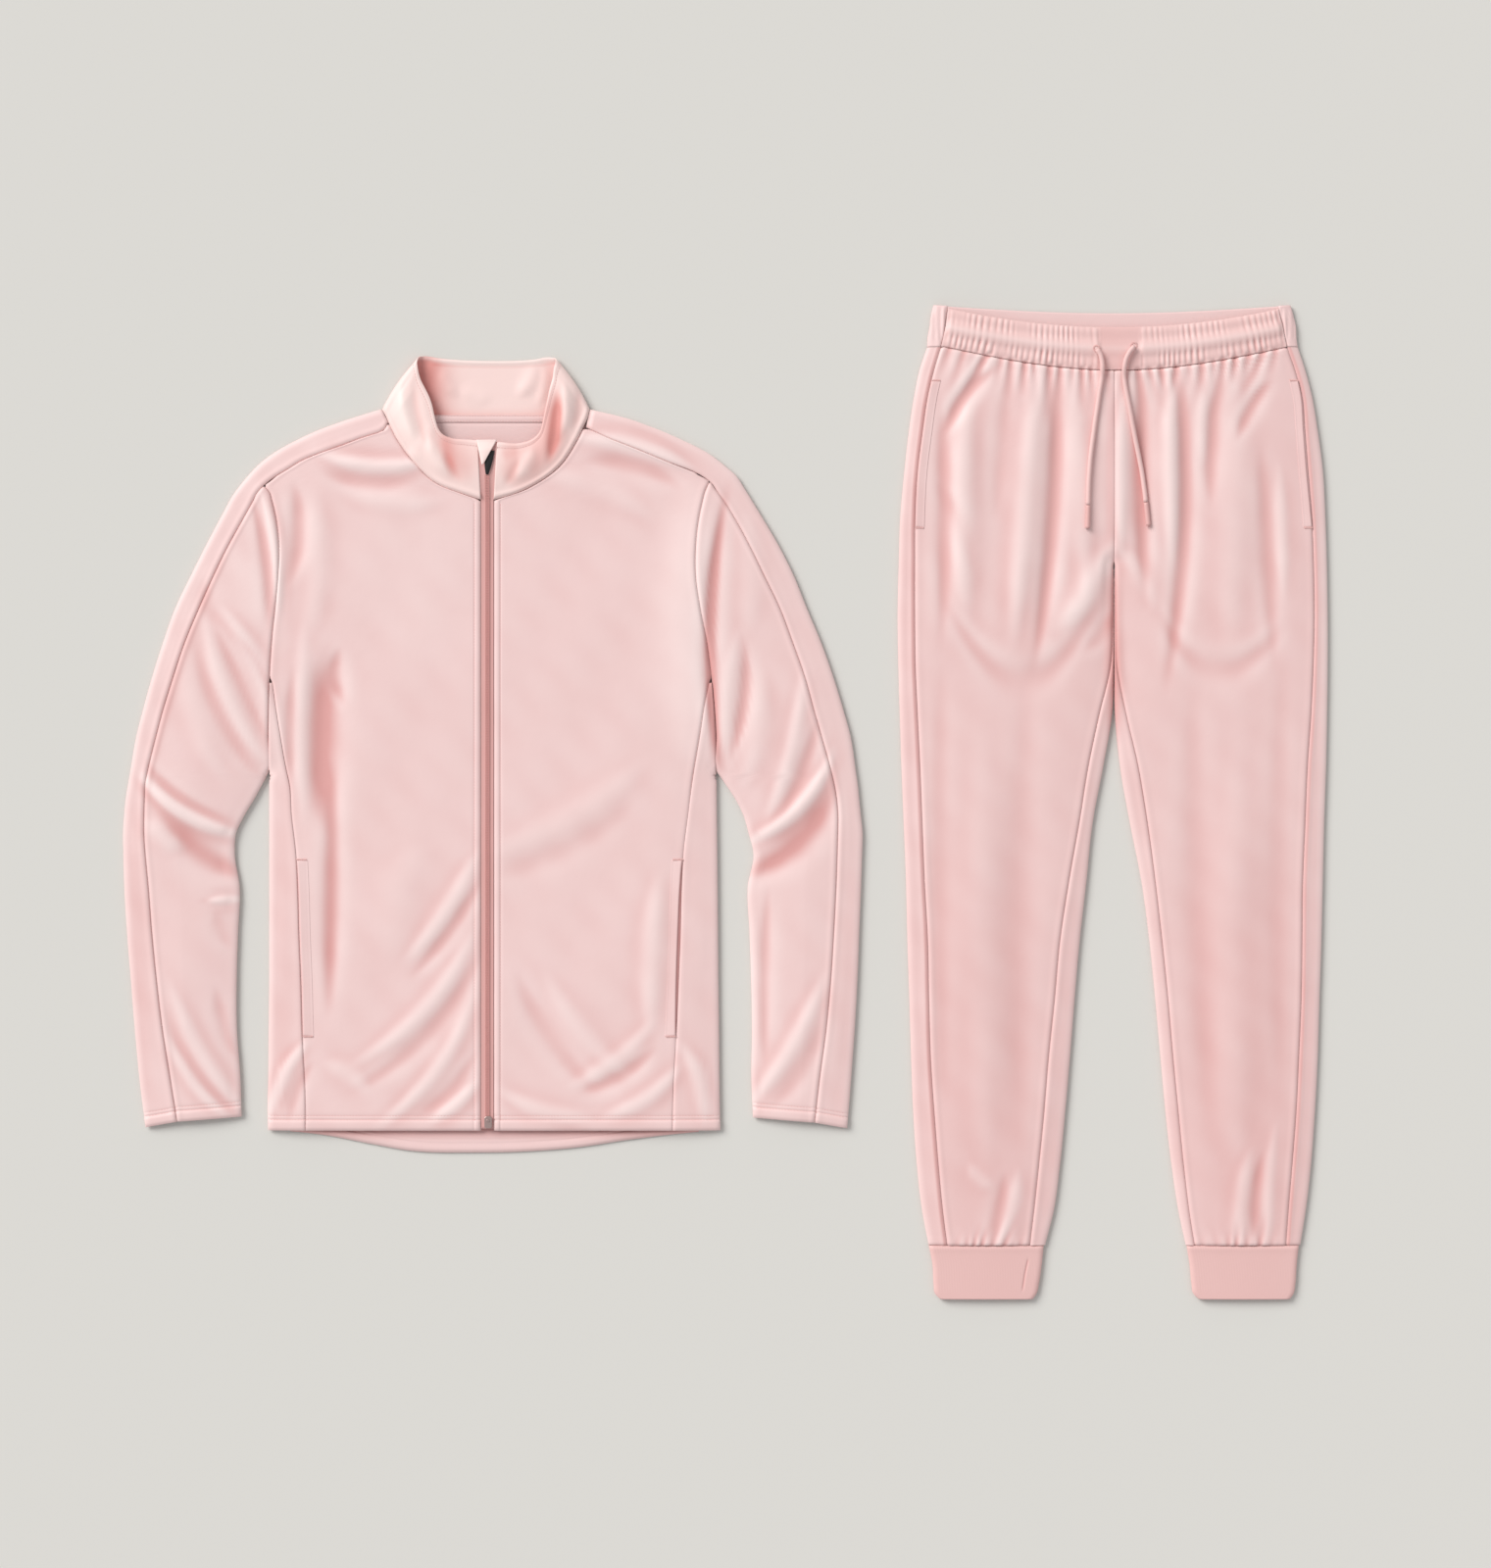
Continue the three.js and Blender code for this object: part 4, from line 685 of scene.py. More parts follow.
# Painted shadow of the front hem on the top of the back's tail
painted_hem_shadow = 0.75 * smooth((y - HEM_Y + 12) / 6) * smooth((HEM_Y + 13 - y) / 15)
make_cloth("back_panel", "jacket_back", x, y, z, on="table_top", painted_shading=painted_hem_shadow)


# Sleeves
# Each sleeve is a front and a back of the same knit, joined by a strip that runs from the neck over the
# shoulder to the cuff. The strip wraps the outer edge, and the front wraps the inner edge below the armpit.
def cuff_drop(drop, y):
    """The cuff's edge is cut a little aslant: lower at the outer edge than at the inner one."""
    return drop * smooth((y - 1060) / 84)


CUFF_OUTER, CUFF_INNER = 6, -5
STRIP_WIDE, CUFF_WIDE = 33, 65
STRIP_TOP = {"right": 432.3, "left": 437}
for side, inward in SIDES.items():
    shoulder, sleeve = SHOULDERS[side], SLEEVES[side]
    bottom = sleeve["y"][-1]
    y = rows_between(STRIP_TOP[side], bottom, 3.2, end=HEM_STOPS)
    (neck_seam, low_y), (neck_edge, high_y) = NECK_ENDS[side]
    whole = {"y": np.concatenate([[STRIP_TOP[side]], shoulder["y"], sleeve["y"]])}
    for name, start in (("seam", neck_seam), ("edge", neck_edge), ("up", low_y - high_y)):
        whole[name] = np.concatenate([[start], shoulder[name], sleeve[name]])
    seam_x, edge_x, up = (x_at(whole, name, y) for name in ("seam", "edge", "up"))
    up = np.clip(up, 0, 30) - cuff_drop(CUFF_OUTER, y)
    x, y, z = wrapped_panel(y, seam_x, edge_x, up, TURN_UNDER, jacket_lie)
    hem = bottom + CUFF_OUTER * np.clip(np.abs(x - seam_x[-1]) / STRIP_WIDE, 0, 1)
    z = z + np.where(z > 3, hem_relief(hem - y), 0)
    make_cloth(f"strip_{side}", f"shoulder_strip_{side}", x, y, z, painted_shading=jacket_painted_shading(x, y))

    y = rows_between(sleeve["y"][0], bottom, 2.3, end=HEM_STOPS)
    seam_x = x_at(sleeve, "seam", y)
    inner_x = x_at(sleeve, "arm", y)
    up = -cuff_drop(CUFF_INNER, y)
    way = dict(columns=(46, 12, 4), **open_below(y))
    x, y, z = wrapped_panel(y, seam_x, inner_x, up, TURN_UNDER, jacket_lie, **way)
    hem = bottom + CUFF_INNER * np.clip(np.abs(x - seam_x[-1]) / CUFF_WIDE, 0, 1)
    z = z + np.where(z > 3, hem_relief(hem - y), 0)
    z = z + np.where(y < ARMPIT_Y, seam_dip(np.abs(x - inner_x[:, None])), 0)
    make_cloth(f"sleeve_{side}", f"sleeve_front_{side}", x, y, z, painted_shading=jacket_painted_shading(x, y))

    y = rows_between(505, bottom - 4, 6.0)
    outer_x = x_at(sleeve, "edge", y) + inward * (TURN_UNDER + 1.5)
    arm_x = x_at(sleeve, "arm", y)
    under_x = np.where(y < ARMPIT_Y, arm_x - inward * 0.4, arm_x - inward * (TURN_UNDER + 1))
    ramp = smooth((y - ARMPIT_Y + 16) / 16)
    under_x = np.where(y < ARMPIT_Y, under_x - inward * ramp * TURN_UNDER, under_x)
    x = between(outer_x, under_x, spread(90, 6.0))
    under = x, y[:, None] + 0 * x, np.full_like(x, 1.2)
    make_cloth(f"sleeve_under_{side}", f"sleeve_back_{side}", *under, on="table_top")


# Stand collar
# One band of the same knit, doubled, set into the neck seam. Laid flat it folds at both sides of the neck:
# its front halves lie over the opening, and the back half shows its inside with a tape over the seam.
COLLAR_RIM, COLLAR_SIDE, COLLAR_BULGE = 13.0, 11.5, 3.4
COLLAR_WIDE, COLLAR_SECTIONS = 60, 330
RIM_STITCH = 6.4
COLLAR_PAINTED_SHADE, COLLAR_PAINTED_HIGHLIGHT = "#dd8a82", "#fdece6"
COLLAR_KNIT = polyester_knit("smooth_polyester_knit_collar", "#fadfda", "#f8dad5", COLLAR_PAINTED_SHADE, COLLAR_PAINTED_HIGHLIGHT)
NECK_SEAM_Y = 427.3
COLLAR_FOLDS = both_sides(
    "turn rim_x rim_y",
    right=[
        (90, 426.8, 374), (60, 426.3, 370), (30, 426.7, 367), (0, 427.6, 365), (-30, 429.6, 364.2),
        (-60, 432.6, 364), (-90, 437, 364.3),
    ],
    left=[
        (90, 565.8, 376), (60, 567, 372), (30, 567.6, 369), (0, 567.6, 366.6), (-30, 566, 365.6),
        (-60, 563, 365.2), (-90, 559, 365),
    ],
)
COLLAR_BACK = table(
    "x rim_x rim_y",
    [(410, 447, 366), (443, 468, 368), (497, 500, 369), (551, 532, 368.5), (584, 548, 367)],
)


def collar_front(side):
    """Sections of the collar's front half, from the zip to the side of the neck."""
    shoulder, front = SHOULDERS[side], NECK_FRONTS[side]
    foot_x = np.append(shoulder["neck"], front["foot_x"])
    foot_y = np.append(shoulder["y"], front["foot_y"])
    rim_x, rim_y = (np.append(shoulder[name], front[name]) for name in ("rim_x", "rim_y"))
    share = np.linspace(1, 0, len(foot_x))
    low = jacket_lie(foot_x, foot_y) + 0.4
    high = COLLAR_RIM + (COLLAR_SIDE - COLLAR_RIM) * share**2
    bulge = np.full_like(foot_x, COLLAR_BULGE)
    return list(zip(foot_x, foot_y, low, rim_x, rim_y, high, bulge, 0 * foot_x))[::-1]


def collar_fold(side):
    """Sections round the side fold, from the upper layer to the lower one."""
    inward = SIDES[side]
    seam, edge = np.array(NECK_ENDS[side])
    length = float(np.hypot(*(seam - edge)))
    low = float(jacket_lie(np.array([edge[0] + inward * 6.0]), np.array([edge[1] + 12.0]))[0])
    rows = []
    for turn, rim_x, rim_y in zip(*COLLAR_FOLDS[side].values()):
        cos, sin = math.cos(math.radians(turn)), math.sin(math.radians(turn))
        foot = edge + (seam - edge) / length * EDGE_REACH * (1 - cos) + np.array([inward * 0.3, -0.2])
        up = (1 + sin) / 2
        bulge = COLLAR_BULGE / 2 * up
        rows.append((*foot, low * up, rim_x, rim_y, COLLAR_SIDE * up, bulge, -3 * inward * cos))
    return rows


collar_rows = collar_front("right") + collar_fold("right")
for x, rim_x, rim_y in zip(*COLLAR_BACK.values()):
    collar_rows.append((x, NECK_SEAM_Y - 0.3, 0.05, rim_x, rim_y, 0.05, 0, 0))
collar_rows += collar_fold("left")[::-1] + collar_front("left")[::-1]
collar = table("foot_x foot_y foot_z rim_x rim_y rim_z bulge bow", collar_rows)
step = np.hypot(np.diff(collar["foot_x"]), np.diff(collar["foot_y"]))
step = step + np.hypot(np.diff(collar["rim_x"]), np.diff(collar["rim_y"])) + np.abs(np.diff(collar["rim_z"]))
around = np.concatenate([[0], np.cumsum(step)])
fine = np.linspace(0, around[-1], COLLAR_SECTIONS)
section = {name: np.interp(fine, around, values)[:, None] for name, values in collar.items()}
for name in ("foot_x", "foot_y", "foot_z", "rim_x", "rim_y", "rim_z"):
    section[name] = flowing(around, collar[name])(fine)[:, None]
up_share = spread(COLLAR_WIDE, 2.4)[None, :]
from_rim = COLLAR_WIDE * (1 - up_share)
from_foot = COLLAR_WIDE * up_share
hump = np.sin(np.pi * up_share)
feet, rims = ([section[end + way] for way in "xyz"] for end in ("foot_", "rim_"))
x, y, z = (foot + (rim - foot) * up_share for foot, rim in zip(feet, rims))
x = x + section["bow"] * hump
z = z + section["bulge"] * hump
COLLAR_CREASES = table(
    "x1 y1 x2 y2 bend wide high",
    [
        (410, 396, 424, 454, 4, 7, 2), (424, 392, 438, 456, 4, 6, -1.5), (438, 448, 458, 486, 3, 7, 1.6),
        (456, 462, 472, 492, 2, 5, -0.9), (576, 390, 572, 446, -4, 7, 2),
        (569, 404, 561, 470, -3, 6.5, -2.4), (590, 400, 586, 438, -3, 5, -1.2),
        (544, 458, 526, 490, -3, 8, 1.6), (530, 470, 516, 496, -2, 5, -0.9),
    ],
)
INSIDE_CREASES = table(
    "x1 y1 x2 y2 bend wide high",
    [
        (452, 376, 466, 404, 3, 7, 1.1), (546, 372, 530, 404, -3, 8, 1.6), (556, 376, 548, 414, -3, 5, 0.9),
        (470, 398, 500, 408, 3, 9, 0.8),
    ],
)
upper_layer = smooth((z - 5) / 4)
inside = 1 - upper_layer
collar_relief = creases(COLLAR_CREASES)(x, y) * hump**0.5
z = z + upper_layer * collar_relief
z = z + inside * creases(INSIDE_CREASES)(x, y) * hump * smooth(1.2 - z)
z = z + upper_layer * (0.7 * bump(from_rim - 3, 2.5) - 0.5 * bump(from_rim - RIM_STITCH, 0.8))
z = z + upper_layer * (seam_dip(from_foot) + bump(from_foot - 3.5, 2.6))
COLLAR_PAINTED_SHADES = table(
    "x1 y1 x2 y2 bend wide deep",
    [
        (560, 396, 552, 486, 0, 24, 0.5), (552, 472, 512, 486, 0, 20, 0.42),
        (575, 388, 562, 468, -2, 8, 0.4), (530, 460, 512, 464, 0, 9, 0.3),
        (446, 436, 482, 492, 0, 20, 0.42), (454, 444, 463, 486, 0, 8, 0.35),
        (414, 396, 430, 452, 4, 13, -0.2),
    ],
)
# Painted shade inside the collar, deepest at both side folds and deeper along the neck seam; along the back
# rim a painted highlight, and a deeper line where the cloth sinks 5 mm below it
painted_fold_shade = 1.25 * bump(x - 434, 22) + 0.4 * bump(x - 566, 12)
painted_fold_shade = painted_fold_shade + 0.35 * bump(y - 425, 6)
rim_highlight_and_line = 0.5 * bump(from_rim - 5, 0.9) - 0.5 * bump(from_rim - 1.5, 2)
z = z + inside * (0.8 * bump(from_rim - 1.5, 1.8) - 0.3 * bump(from_rim - 5, 0.9))
# Painted shade in the collar's front folds and on the listed patches, and a painted highlight on its crease
# ridges
upper_painted_shading = creases(COLLAR_PAINTED_SHADES, 1)(x, y) - 0.05 - 0.22 * collar_relief
painted_shading = inside * (0.75 * painted_fold_shade + rim_highlight_and_line) + upper_layer * upper_painted_shading
collar_surface = np.stack([x, y, z], axis=2)
make_cloth("collar_band", "collar", x, y, z, COLLAR_KNIT, on="front_panel_right", painted_shading=painted_shading)

TAPE_STITCH = 2.6
tape_y = np.array([0, 0.4, 0.9, 1.6, 3.5, 5.4, 6.1, 6.6, 7.0]) + NECK_SEAM_Y - 3.5
x, y = np.meshgrid(np.linspace(408, 586, 60), tape_y)
z = 2.5 - 0.35 * bump(np.abs(y - NECK_SEAM_Y) - TAPE_STITCH, 0.4)
make_cloth("neck_tape", "back_neck_tape", x, y, z, wall=0.7, on="back_panel")


# Zip
# A reversed coil zip on two knitted tapes, sewn under the front edges, with a black slider that is parked
# beneath a small cloth garage at the collar's rim. A pale metal box closes the tapes at the hem.
ZIP_SINK = 0.7
ZIP_TOP = 452
zip_low = jacket_lie(np.array([ZIP_LINE]), np.array([NECK_FOOT]))[0]


def zip_height(x, y):
    f = np.clip((NECK_FOOT - y) / (NECK_FOOT - ZIP_TOP), 0, 1)
    on_collar = zip_low + (COLLAR_RIM - zip_low) * f + COLLAR_BULGE * np.sin(np.pi * f)
    return np.where(y >= NECK_FOOT, jacket_lie(x, y), on_collar) - ZIP_SINK


def zip_middle(y):
    return float(zip_height(np.array([ZIP_LINE]), np.array([y]))[0])


ZIP_KNIT = polyester_knit("woven_zip_tape", "#dcaaa6", "#d6a09b", painted_shade_colour="#b97c77", wale_mm=0.8, roughness=0.6)
for side, inward in SIDES.items():
    far = ZIP_LINE - inward * (FRONT_EDGE - 0.3)
    shares = np.array([0, 0.1, 0.35, 0.6, 0.75, 0.85, 0.95, 1.0])[None, :]
    y = np.linspace(ZIP_TOP, 1151, 240)[:, None]
    above = np.clip((NECK_FOOT - y) / (NECK_FOOT - ZIP_TOP), 0, 1)
    far = far - inward * (3.0 * above + 1.8 * smooth((NECK_FOOT - y) / 4))
    x = far + (ZIP_LINE - inward * 0.2 - far) * shares
    y = y + 0 * x
    z = zip_height(x, y) + 0.7 * smooth((shares - 0.55) / 0.25)
    z = z + 0.6 * smooth((NECK_FOOT + 2 - y) / 4) * smooth((0.45 - shares) / 0.3)
    name, node_name = f"zip_cloth_{side}", f"zip_tape_{side}"
    make_cloth(name, node_name, x, y, z, ZIP_KNIT, wall=0.8, on="front_panel_right")

COIL_PITCH, COIL_WIDTH, COIL_HEIGHT = 1.6, 4.6, 0.7


def finish_piece(name, bm, material):
    made = show_mesh(name, bm, material)
    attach(made, "root")
    return made


coil = bmesh.new()
for turn_y in np.arange(ZIP_TOP + 34, 1138, COIL_PITCH):
    turn = bmesh.ops.create_cube(coil, size=1)["verts"]
    bmesh.ops.scale(coil, verts=turn, vec=(COIL_WIDTH * MM, COIL_PITCH * 0.6 * MM, COIL_HEIGHT * MM))
    bmesh.ops.translate(coil, verts=turn, vec=place(ZIP_LINE, turn_y, zip_middle(turn_y) + 0.75))
finish_piece("zip_coil", coil, plain("moulded_nylon_coil", "#cf938e", 0.35))

SLIDER_TOP, SLIDER_LONG = 461, 24.5
slider = bmesh.new()
bmesh.ops.create_grid(slider, x_segments=4, y_segments=8, size=0.5)
for vertex in slider.verts:
    share, across = 0.5 - vertex.co.y, vertex.co.x
    slider_y = SLIDER_TOP + SLIDER_LONG * share
    wide = 10 - 7 * share**1.8
    crown = 2.2 + 0.5 * math.sin(math.pi * share) - 1.6 * across**2
    vertex.co = place(ZIP_LINE + 2.7 - 2.5 * share + wide * across, slider_y, zip_middle(slider_y) + crown)
bmesh.ops.recalc_face_normals(slider, faces=slider.faces)
if sum(face.normal.z for face in slider.faces) < 0:
    bmesh.ops.reverse_faces(slider, faces=slider.faces)
black_enamel = plain("black_enamelled_zinc", "#0f0c0c", 0.45)
zip_slider = finish_piece("slider_body", slider, black_enamel)
slider_wall = zip_slider.modifiers.new("body", "SOLIDIFY")
slider_wall.thickness = 0.0018
slider_wall.offset = -1
slider_round = zip_slider.modifiers.new("round", "BEVEL")
slider_round.width = 0.0004
slider_round.segments = 2
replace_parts(zip_slider, "zip_slider")

GARAGE_TOP, GARAGE_LONG = 450, 25.5
across = np.linspace(0, 1, 14)[None, :]
down = np.linspace(0, 1, 24)[:, None]
x = (487 + 5.5 * down) + (21 - 19.3 * down) * across
y = GARAGE_TOP + GARAGE_LONG * down + 0 * x
z = zip_height(0 * x + ZIP_LINE, y) + ZIP_SINK + 1.5
z = z + 2.4 * smooth((y - GARAGE_TOP - 1) / 11) + 0.5 * np.sin(np.pi * across)
# The flap's colour is painted paler all over, as a painted highlight on the raised cloth
make_cloth("garage_flap", "zip_garage", x, y, z, COLLAR_KNIT, wall=0.9, on="collar_band", painted_shading=-0.3)

zip_foot = bmesh.new()
foot_z = zip_middle(1145.0)
box_body = bmesh.ops.create_cube(zip_foot, size=1)["verts"]
bmesh.ops.scale(zip_foot, verts=box_body, vec=(0.0078, 0.0125, 0.0024))
bmesh.ops.translate(zip_foot, verts=box_body, vec=place(ZIP_LINE + 1, 1144.2, foot_z + 1.8))
corners = [edge for edge in zip_foot.edges if abs(edge.verts[0].co.z - edge.verts[1].co.z) > 0.001]
bmesh.ops.bevel(zip_foot, geom=corners, offset=0.0026, affect="EDGES", segments=5, profile=0.5, material=-1)
rims = [edge for edge in zip_foot.edges if abs(edge.verts[0].co.z - edge.verts[1].co.z) < 1e-6]
bmesh.ops.bevel(zip_foot, geom=rims, offset=0.0005, affect="EDGES", segments=2, profile=0.5, material=-1)
pin = dict(radius1=0.0019, radius2=0.0014, depth=0.0011, segments=20, cap_ends=True)
pin_place = Matrix.Translation(place(ZIP_LINE + 1, 1142.4, foot_z + 3.2))
bmesh.ops.create_cone(zip_foot, matrix=pin_place, **pin)
box_paint = plain("painted_zinc_box", "#b9a19d", 0.28, metallic=0.7)
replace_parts(finish_piece("zip_foot_box", zip_foot, box_paint), "zip_box")


# Jacket pockets
# A doubled welt of the same knit is set into each side seam, closed at both ends by a bar tack.
def welt(garment, side, seam, ends, width, gape, proud, lay, on, material=KNIT):
    """A welt along a seam's (y, x) line between two ends, standing open by gape at its middle."""
    top, bottom = ends
    lie, painted_shading = lay
    way = SIDES[side]
    shares = spread(width, 1.2)
    y = rows_between(top, bottom, 3.0, start=(0, 0.5, 1.2, 2))[:, None]
    open_by = gape * np.sin(np.pi * (y - top) / (bottom - top)) ** 0.7
    x = flowing(*seam)(y) + way * (0.5 + open_by) + way * (width - open_by) * shares[None, :]
    y = y + 0 * x
    ends = smooth((y - top) / 2) * smooth((bottom - y) / 2)
    rolled = 1.1 * (1 - shares) ** 1.3 - 0.6 * bump(shares * width, 0.7)
    stitched = -0.12 * bump(shares * width - width + 2, 0.6)
    z = lie(x, y) + 0.1 + (proud + rolled + stitched) * ends
    # Painted shade along the welt's open edge, on top of the panel's painted shade and highlight
    painted_welt_shading = painted_shading(x, y) + 0.35 * bump(shares * width, 0.9) * ends
    name, node_name = f"{garment}_welt_{side}", f"{garment}_pocket_welt_{side}"
    make_cloth(name, node_name, x, y, z, material, wall=0.9, on=on, painted_shading=painted_welt_shading)


JACKET_POCKET = POCKET_TOP, POCKET_END
jacket_lay = jacket_lie, jacket_painted_shading
for side, body in BODIES.items():
    seam = body["y"], body["side"]
    welt("jacket", side, seam, JACKET_POCKET, 11, POCKET_GAPE[side], 0.05, jacket_lay, f"front_panel_{side}")


# Trouser legs
# Each leg is a front, a back that wraps forward round the inner edge, and a strip down the outer side.
# The fronts are gathered into the waistband and the ankle cuffs.
WAIST_SEAM_Y, LEG_END_Y, CUFF_END_Y = 355, 1270, 1325
FLY_X = 1136
WAIST_SAG, HALF_WAIST, WAIST_MIDDLE = 24, 175, 1138
LEGS = both_sides(
    "y edge seam",
    right=[
        (355, 945.5, 959.5), (378, 937.8, 952.6), (405, 932.3, 946.2), (440, 927, 941), (480, 922.5, 936),
        (530, 918, 933.3), (575, 916.6, 933), (630, 915.4, 933), (680, 916.2, 933.6), (730, 917.6, 935.8),
        (780, 919.2, 938.2), (840, 921.6, 940.6), (900, 924, 943), (960, 925.4, 946.2),
        (1020, 927.4, 947.4), (1080, 929.2, 949.2), (1140, 931.6, 953.2), (1190, 935.2, 957.2),
        (1235, 940.4, 961.5), (1270, 947, 966),
    ],
    left=[
        (355, 1323.5, 1312), (378, 1331, 1320.2), (405, 1338, 1327.3), (440, 1343.8, 1330.3),
        (480, 1349, 1333.4), (530, 1351.7, 1337.3), (575, 1353.1, 1339.2), (630, 1354, 1340),
        (680, 1354, 1338.8), (730, 1353.4, 1336.5), (780, 1352.4, 1333), (840, 1350.4, 1330.5),
        (900, 1349, 1328), (960, 1347.6, 1327.4), (1020, 1345.6, 1326.5), (1080, 1343.8, 1324),
        (1140, 1340.6, 1321), (1190, 1336.8, 1317), (1235, 1331.6, 1313.4), (1270, 1326, 1311),
    ],
)
INSEAMS = both_sides(
    "y inner inseam",
    right=[
        (575, 1135.7, 1135.4), (592, 1135.7, 1135.1), (630, 1135.7, 1134.8), (680, 1135.6, 1132.4),
        (730, 1134, 1120.6), (780, 1125.6, 1110), (840, 1114.4, 1100.3), (900, 1108, 1089.7),
        (960, 1101.2, 1080.7), (1020, 1096, 1075.2), (1080, 1091.2, 1069), (1140, 1086, 1064),
        (1190, 1081, 1059), (1235, 1074.8, 1054.2), (1270, 1066, 1050),
    ],
    left=[
        (575, 1136.3, 1136.6), (592, 1136.3, 1136.9), (630, 1136.3, 1137.2), (680, 1136.4, 1139.2),
        (730, 1137, 1148.4), (780, 1141.8, 1160), (840, 1152.2, 1170), (900, 1164, 1178), (960, 1172, 1185),
        (1020, 1178, 1191), (1080, 1183.4, 1196.2), (1140, 1189, 1202), (1190, 1194.8, 1207),
        (1235, 1201.6, 1212.4), (1270, 1209, 1218),
    ],
)
WAIST = table(
    "y right seam_right left seam_left",
    [
        (312, 952, 967, 1316, 1303), (322, 949.5, 965.5, 1319, 1305), (334, 948, 964, 1321.5, 1308),
        (345, 946, 961.8, 1322, 1310), (354.7, 945.5, 959.5, 1323.5, 1312),
    ],
)
TROUSER_FOLDS = table(
    "x1 y1 x2 y2 bend wide high",
    [
        (986, 410, 984, 620, 4, 15, 3), (960, 420, 961, 640, -3, 9, -1.8),
        (1008, 380, 966, 438, 4, 8, -2.5), (1030, 384, 1017, 520, 2, 9, -0.9),
        (1056, 392, 1035, 640, 0, 14, 3), (1077, 386, 1059, 656, -6, 9, -3.1),
        (1096, 396, 1108, 610, 0, 13, 1.6), (1082, 640, 1134, 556, 4, 15, 2.8),
        (1106, 664, 1134, 626, 3, 9, -0.7), (1144, 410, 1143, 560, 1, 7, 2),
        (1139, 560, 1176, 618, -6, 10, 0.8), (960, 500, 990, 580, -5, 10, -1),
        (976, 624, 1106, 622, 50, 15, 0.5), (978, 642, 1108, 640, 52, 18, -1.1),
        (1190, 628, 1294, 642, 32, 14, 0.5), (1190, 644, 1298, 656, 32, 17, -1.1),
        (1165, 390, 1167, 600, 2, 9, -2.7), (1191, 394, 1196, 570, 0, 11, 2.9),
        (1203, 392, 1193, 676, -9, 9, -2.5), (1225, 392, 1226, 470, 0, 7, 1.3),
        (1240, 396, 1234, 510, 2, 8, -1.5), (1262, 400, 1254, 650, 0, 21, 2),
        (1292, 392, 1262, 446, 3, 7, -1.6), (1286, 470, 1298, 664, 0, 9, -1.3),
        (1304, 480, 1308, 606, 0, 7, 1), (1002, 760, 1006, 1190, 4, 22, 1.5),
        (1046, 720, 1040, 1150, 4, 20, -1.5), (960, 700, 962, 1100, 3, 12, -0.9),
        (1262, 760, 1262, 1190, 4, 22, 1.5), (1216, 720, 1232, 1130, 4, 18, -1.5),
        (1306, 700, 1306, 1100, 3, 14, -0.9), (1038, 1196, 1020, 1268, -3, 8, 1),
        (1024, 1200, 1010, 1266, -2, 7, -0.8), (988, 1188, 1012, 1210, 3, 8, 0.5),
        (1274, 1176, 1262, 1266, 3, 8, 1), (1286, 1180, 1280, 1266, 3, 6, -1),
        (1300, 1150, 1294, 1262, 3, 6, 0.7),
    ],
)
# Gathers: where each starts at its seam, how far it runs and leans, its half width and its depth
WAIST_GATHERS = table(
    "x long lean wide deep",
    [
        (968, 30, -8, 4, 1.1), (983, 44, -14, 4, 1.0), (1006, 66, -38, 5, 2.0), (1020, 34, -4, 3.5, 1.0),
        (1031, 44, -3, 3.5, 1.7), (1045, 38, -2, 3.5, 2.6), (1054, 50, 2, 3.5, 1.4), (1070, 66, -2, 4, 2.4),
        (1081, 44, -1, 3.5, 2.1), (1093, 30, 0, 3, 1.0), (1103, 50, 1, 3.5, 2.2), (1112, 46, 2, 3, 1.7),
        (1128, 34, 2, 3.5, 0.9), (1147, 34, -1, 3.5, 0.9), (1160, 50, 4, 3.5, 1.9), (1172, 40, 8, 3.5, 1.4),
        (1184, 56, 6, 4, 2.4), (1199, 38, -6, 3.5, 2.2), (1212, 28, 0, 3, 1.0), (1225, 50, -2, 4, 2.1),
        (1237, 34, 0, 3, 1.2), (1247, 58, -6, 4, 1.9), (1259, 30, -2, 3.5, 2.8), (1273, 54, -10, 4.5, 1.6),
        (1287, 62, -26, 4.5, 1.7), (1300, 34, -6, 3.5, 1.2),
    ],
)
ANKLE_GATHERS = table(
    "x long lean wide deep",
    [
        (975, 16, 2, 3, 0.3), (986, 20, 3, 3, 0.4), (993, 24, 5, 2.6, 0.8), (1001, 22, 4, 2.6, 1),
        (1012, 34, 12, 3, 0.6), (1024, 36, 12, 3.4, 0.8), (1040, 22, 3, 3, 0.4), (1226, 18, -2, 3, 0.3),
        (1240, 22, -3, 3, 0.3), (1252, 20, 0, 3, 0.5), (1260, 34, 3, 2.6, 1), (1271, 28, 3, 3, 0.6),
        (1284, 36, 4, 3, 1.1), (1296, 24, 4, 3, 0.4),
    ],
)


def sag_at(x):
    return WAIST_SAG * np.cos(np.pi / 2 * np.clip(np.abs(x - WAIST_MIDDLE) / HALF_WAIST, 0, 1))


def sagged(x, y):
    return y + sag_at(x) * smooth((450 - y) / (450 - WAIST_SEAM_Y))


def gathers(pleats, seam_y, way):
    """Small pleats that are deep and narrow at a seam, and spread and fade away from it."""

    def at(x, y):
        z = np.zeros(np.shape(x))
        for x0, long, lean, wide, deep in zip(*pleats.values()):
            t = way * (y - seam_y(x0)) / long
            off = (x - x0 - lean * t) / (wide * (0.75 + 0.7 * np.clip(t, 0, 1)))
            fade = smooth((t + 0.08) / 0.08) * (1 - np.clip(t, 0, 1)) ** 1.3
            swell = 0.3 * bump(np.abs(off) - 1.9, 0.8)
            z += deep * fade * (swell - np.exp(-np.clip(off * off, 0, 50)))
        return z

    return at


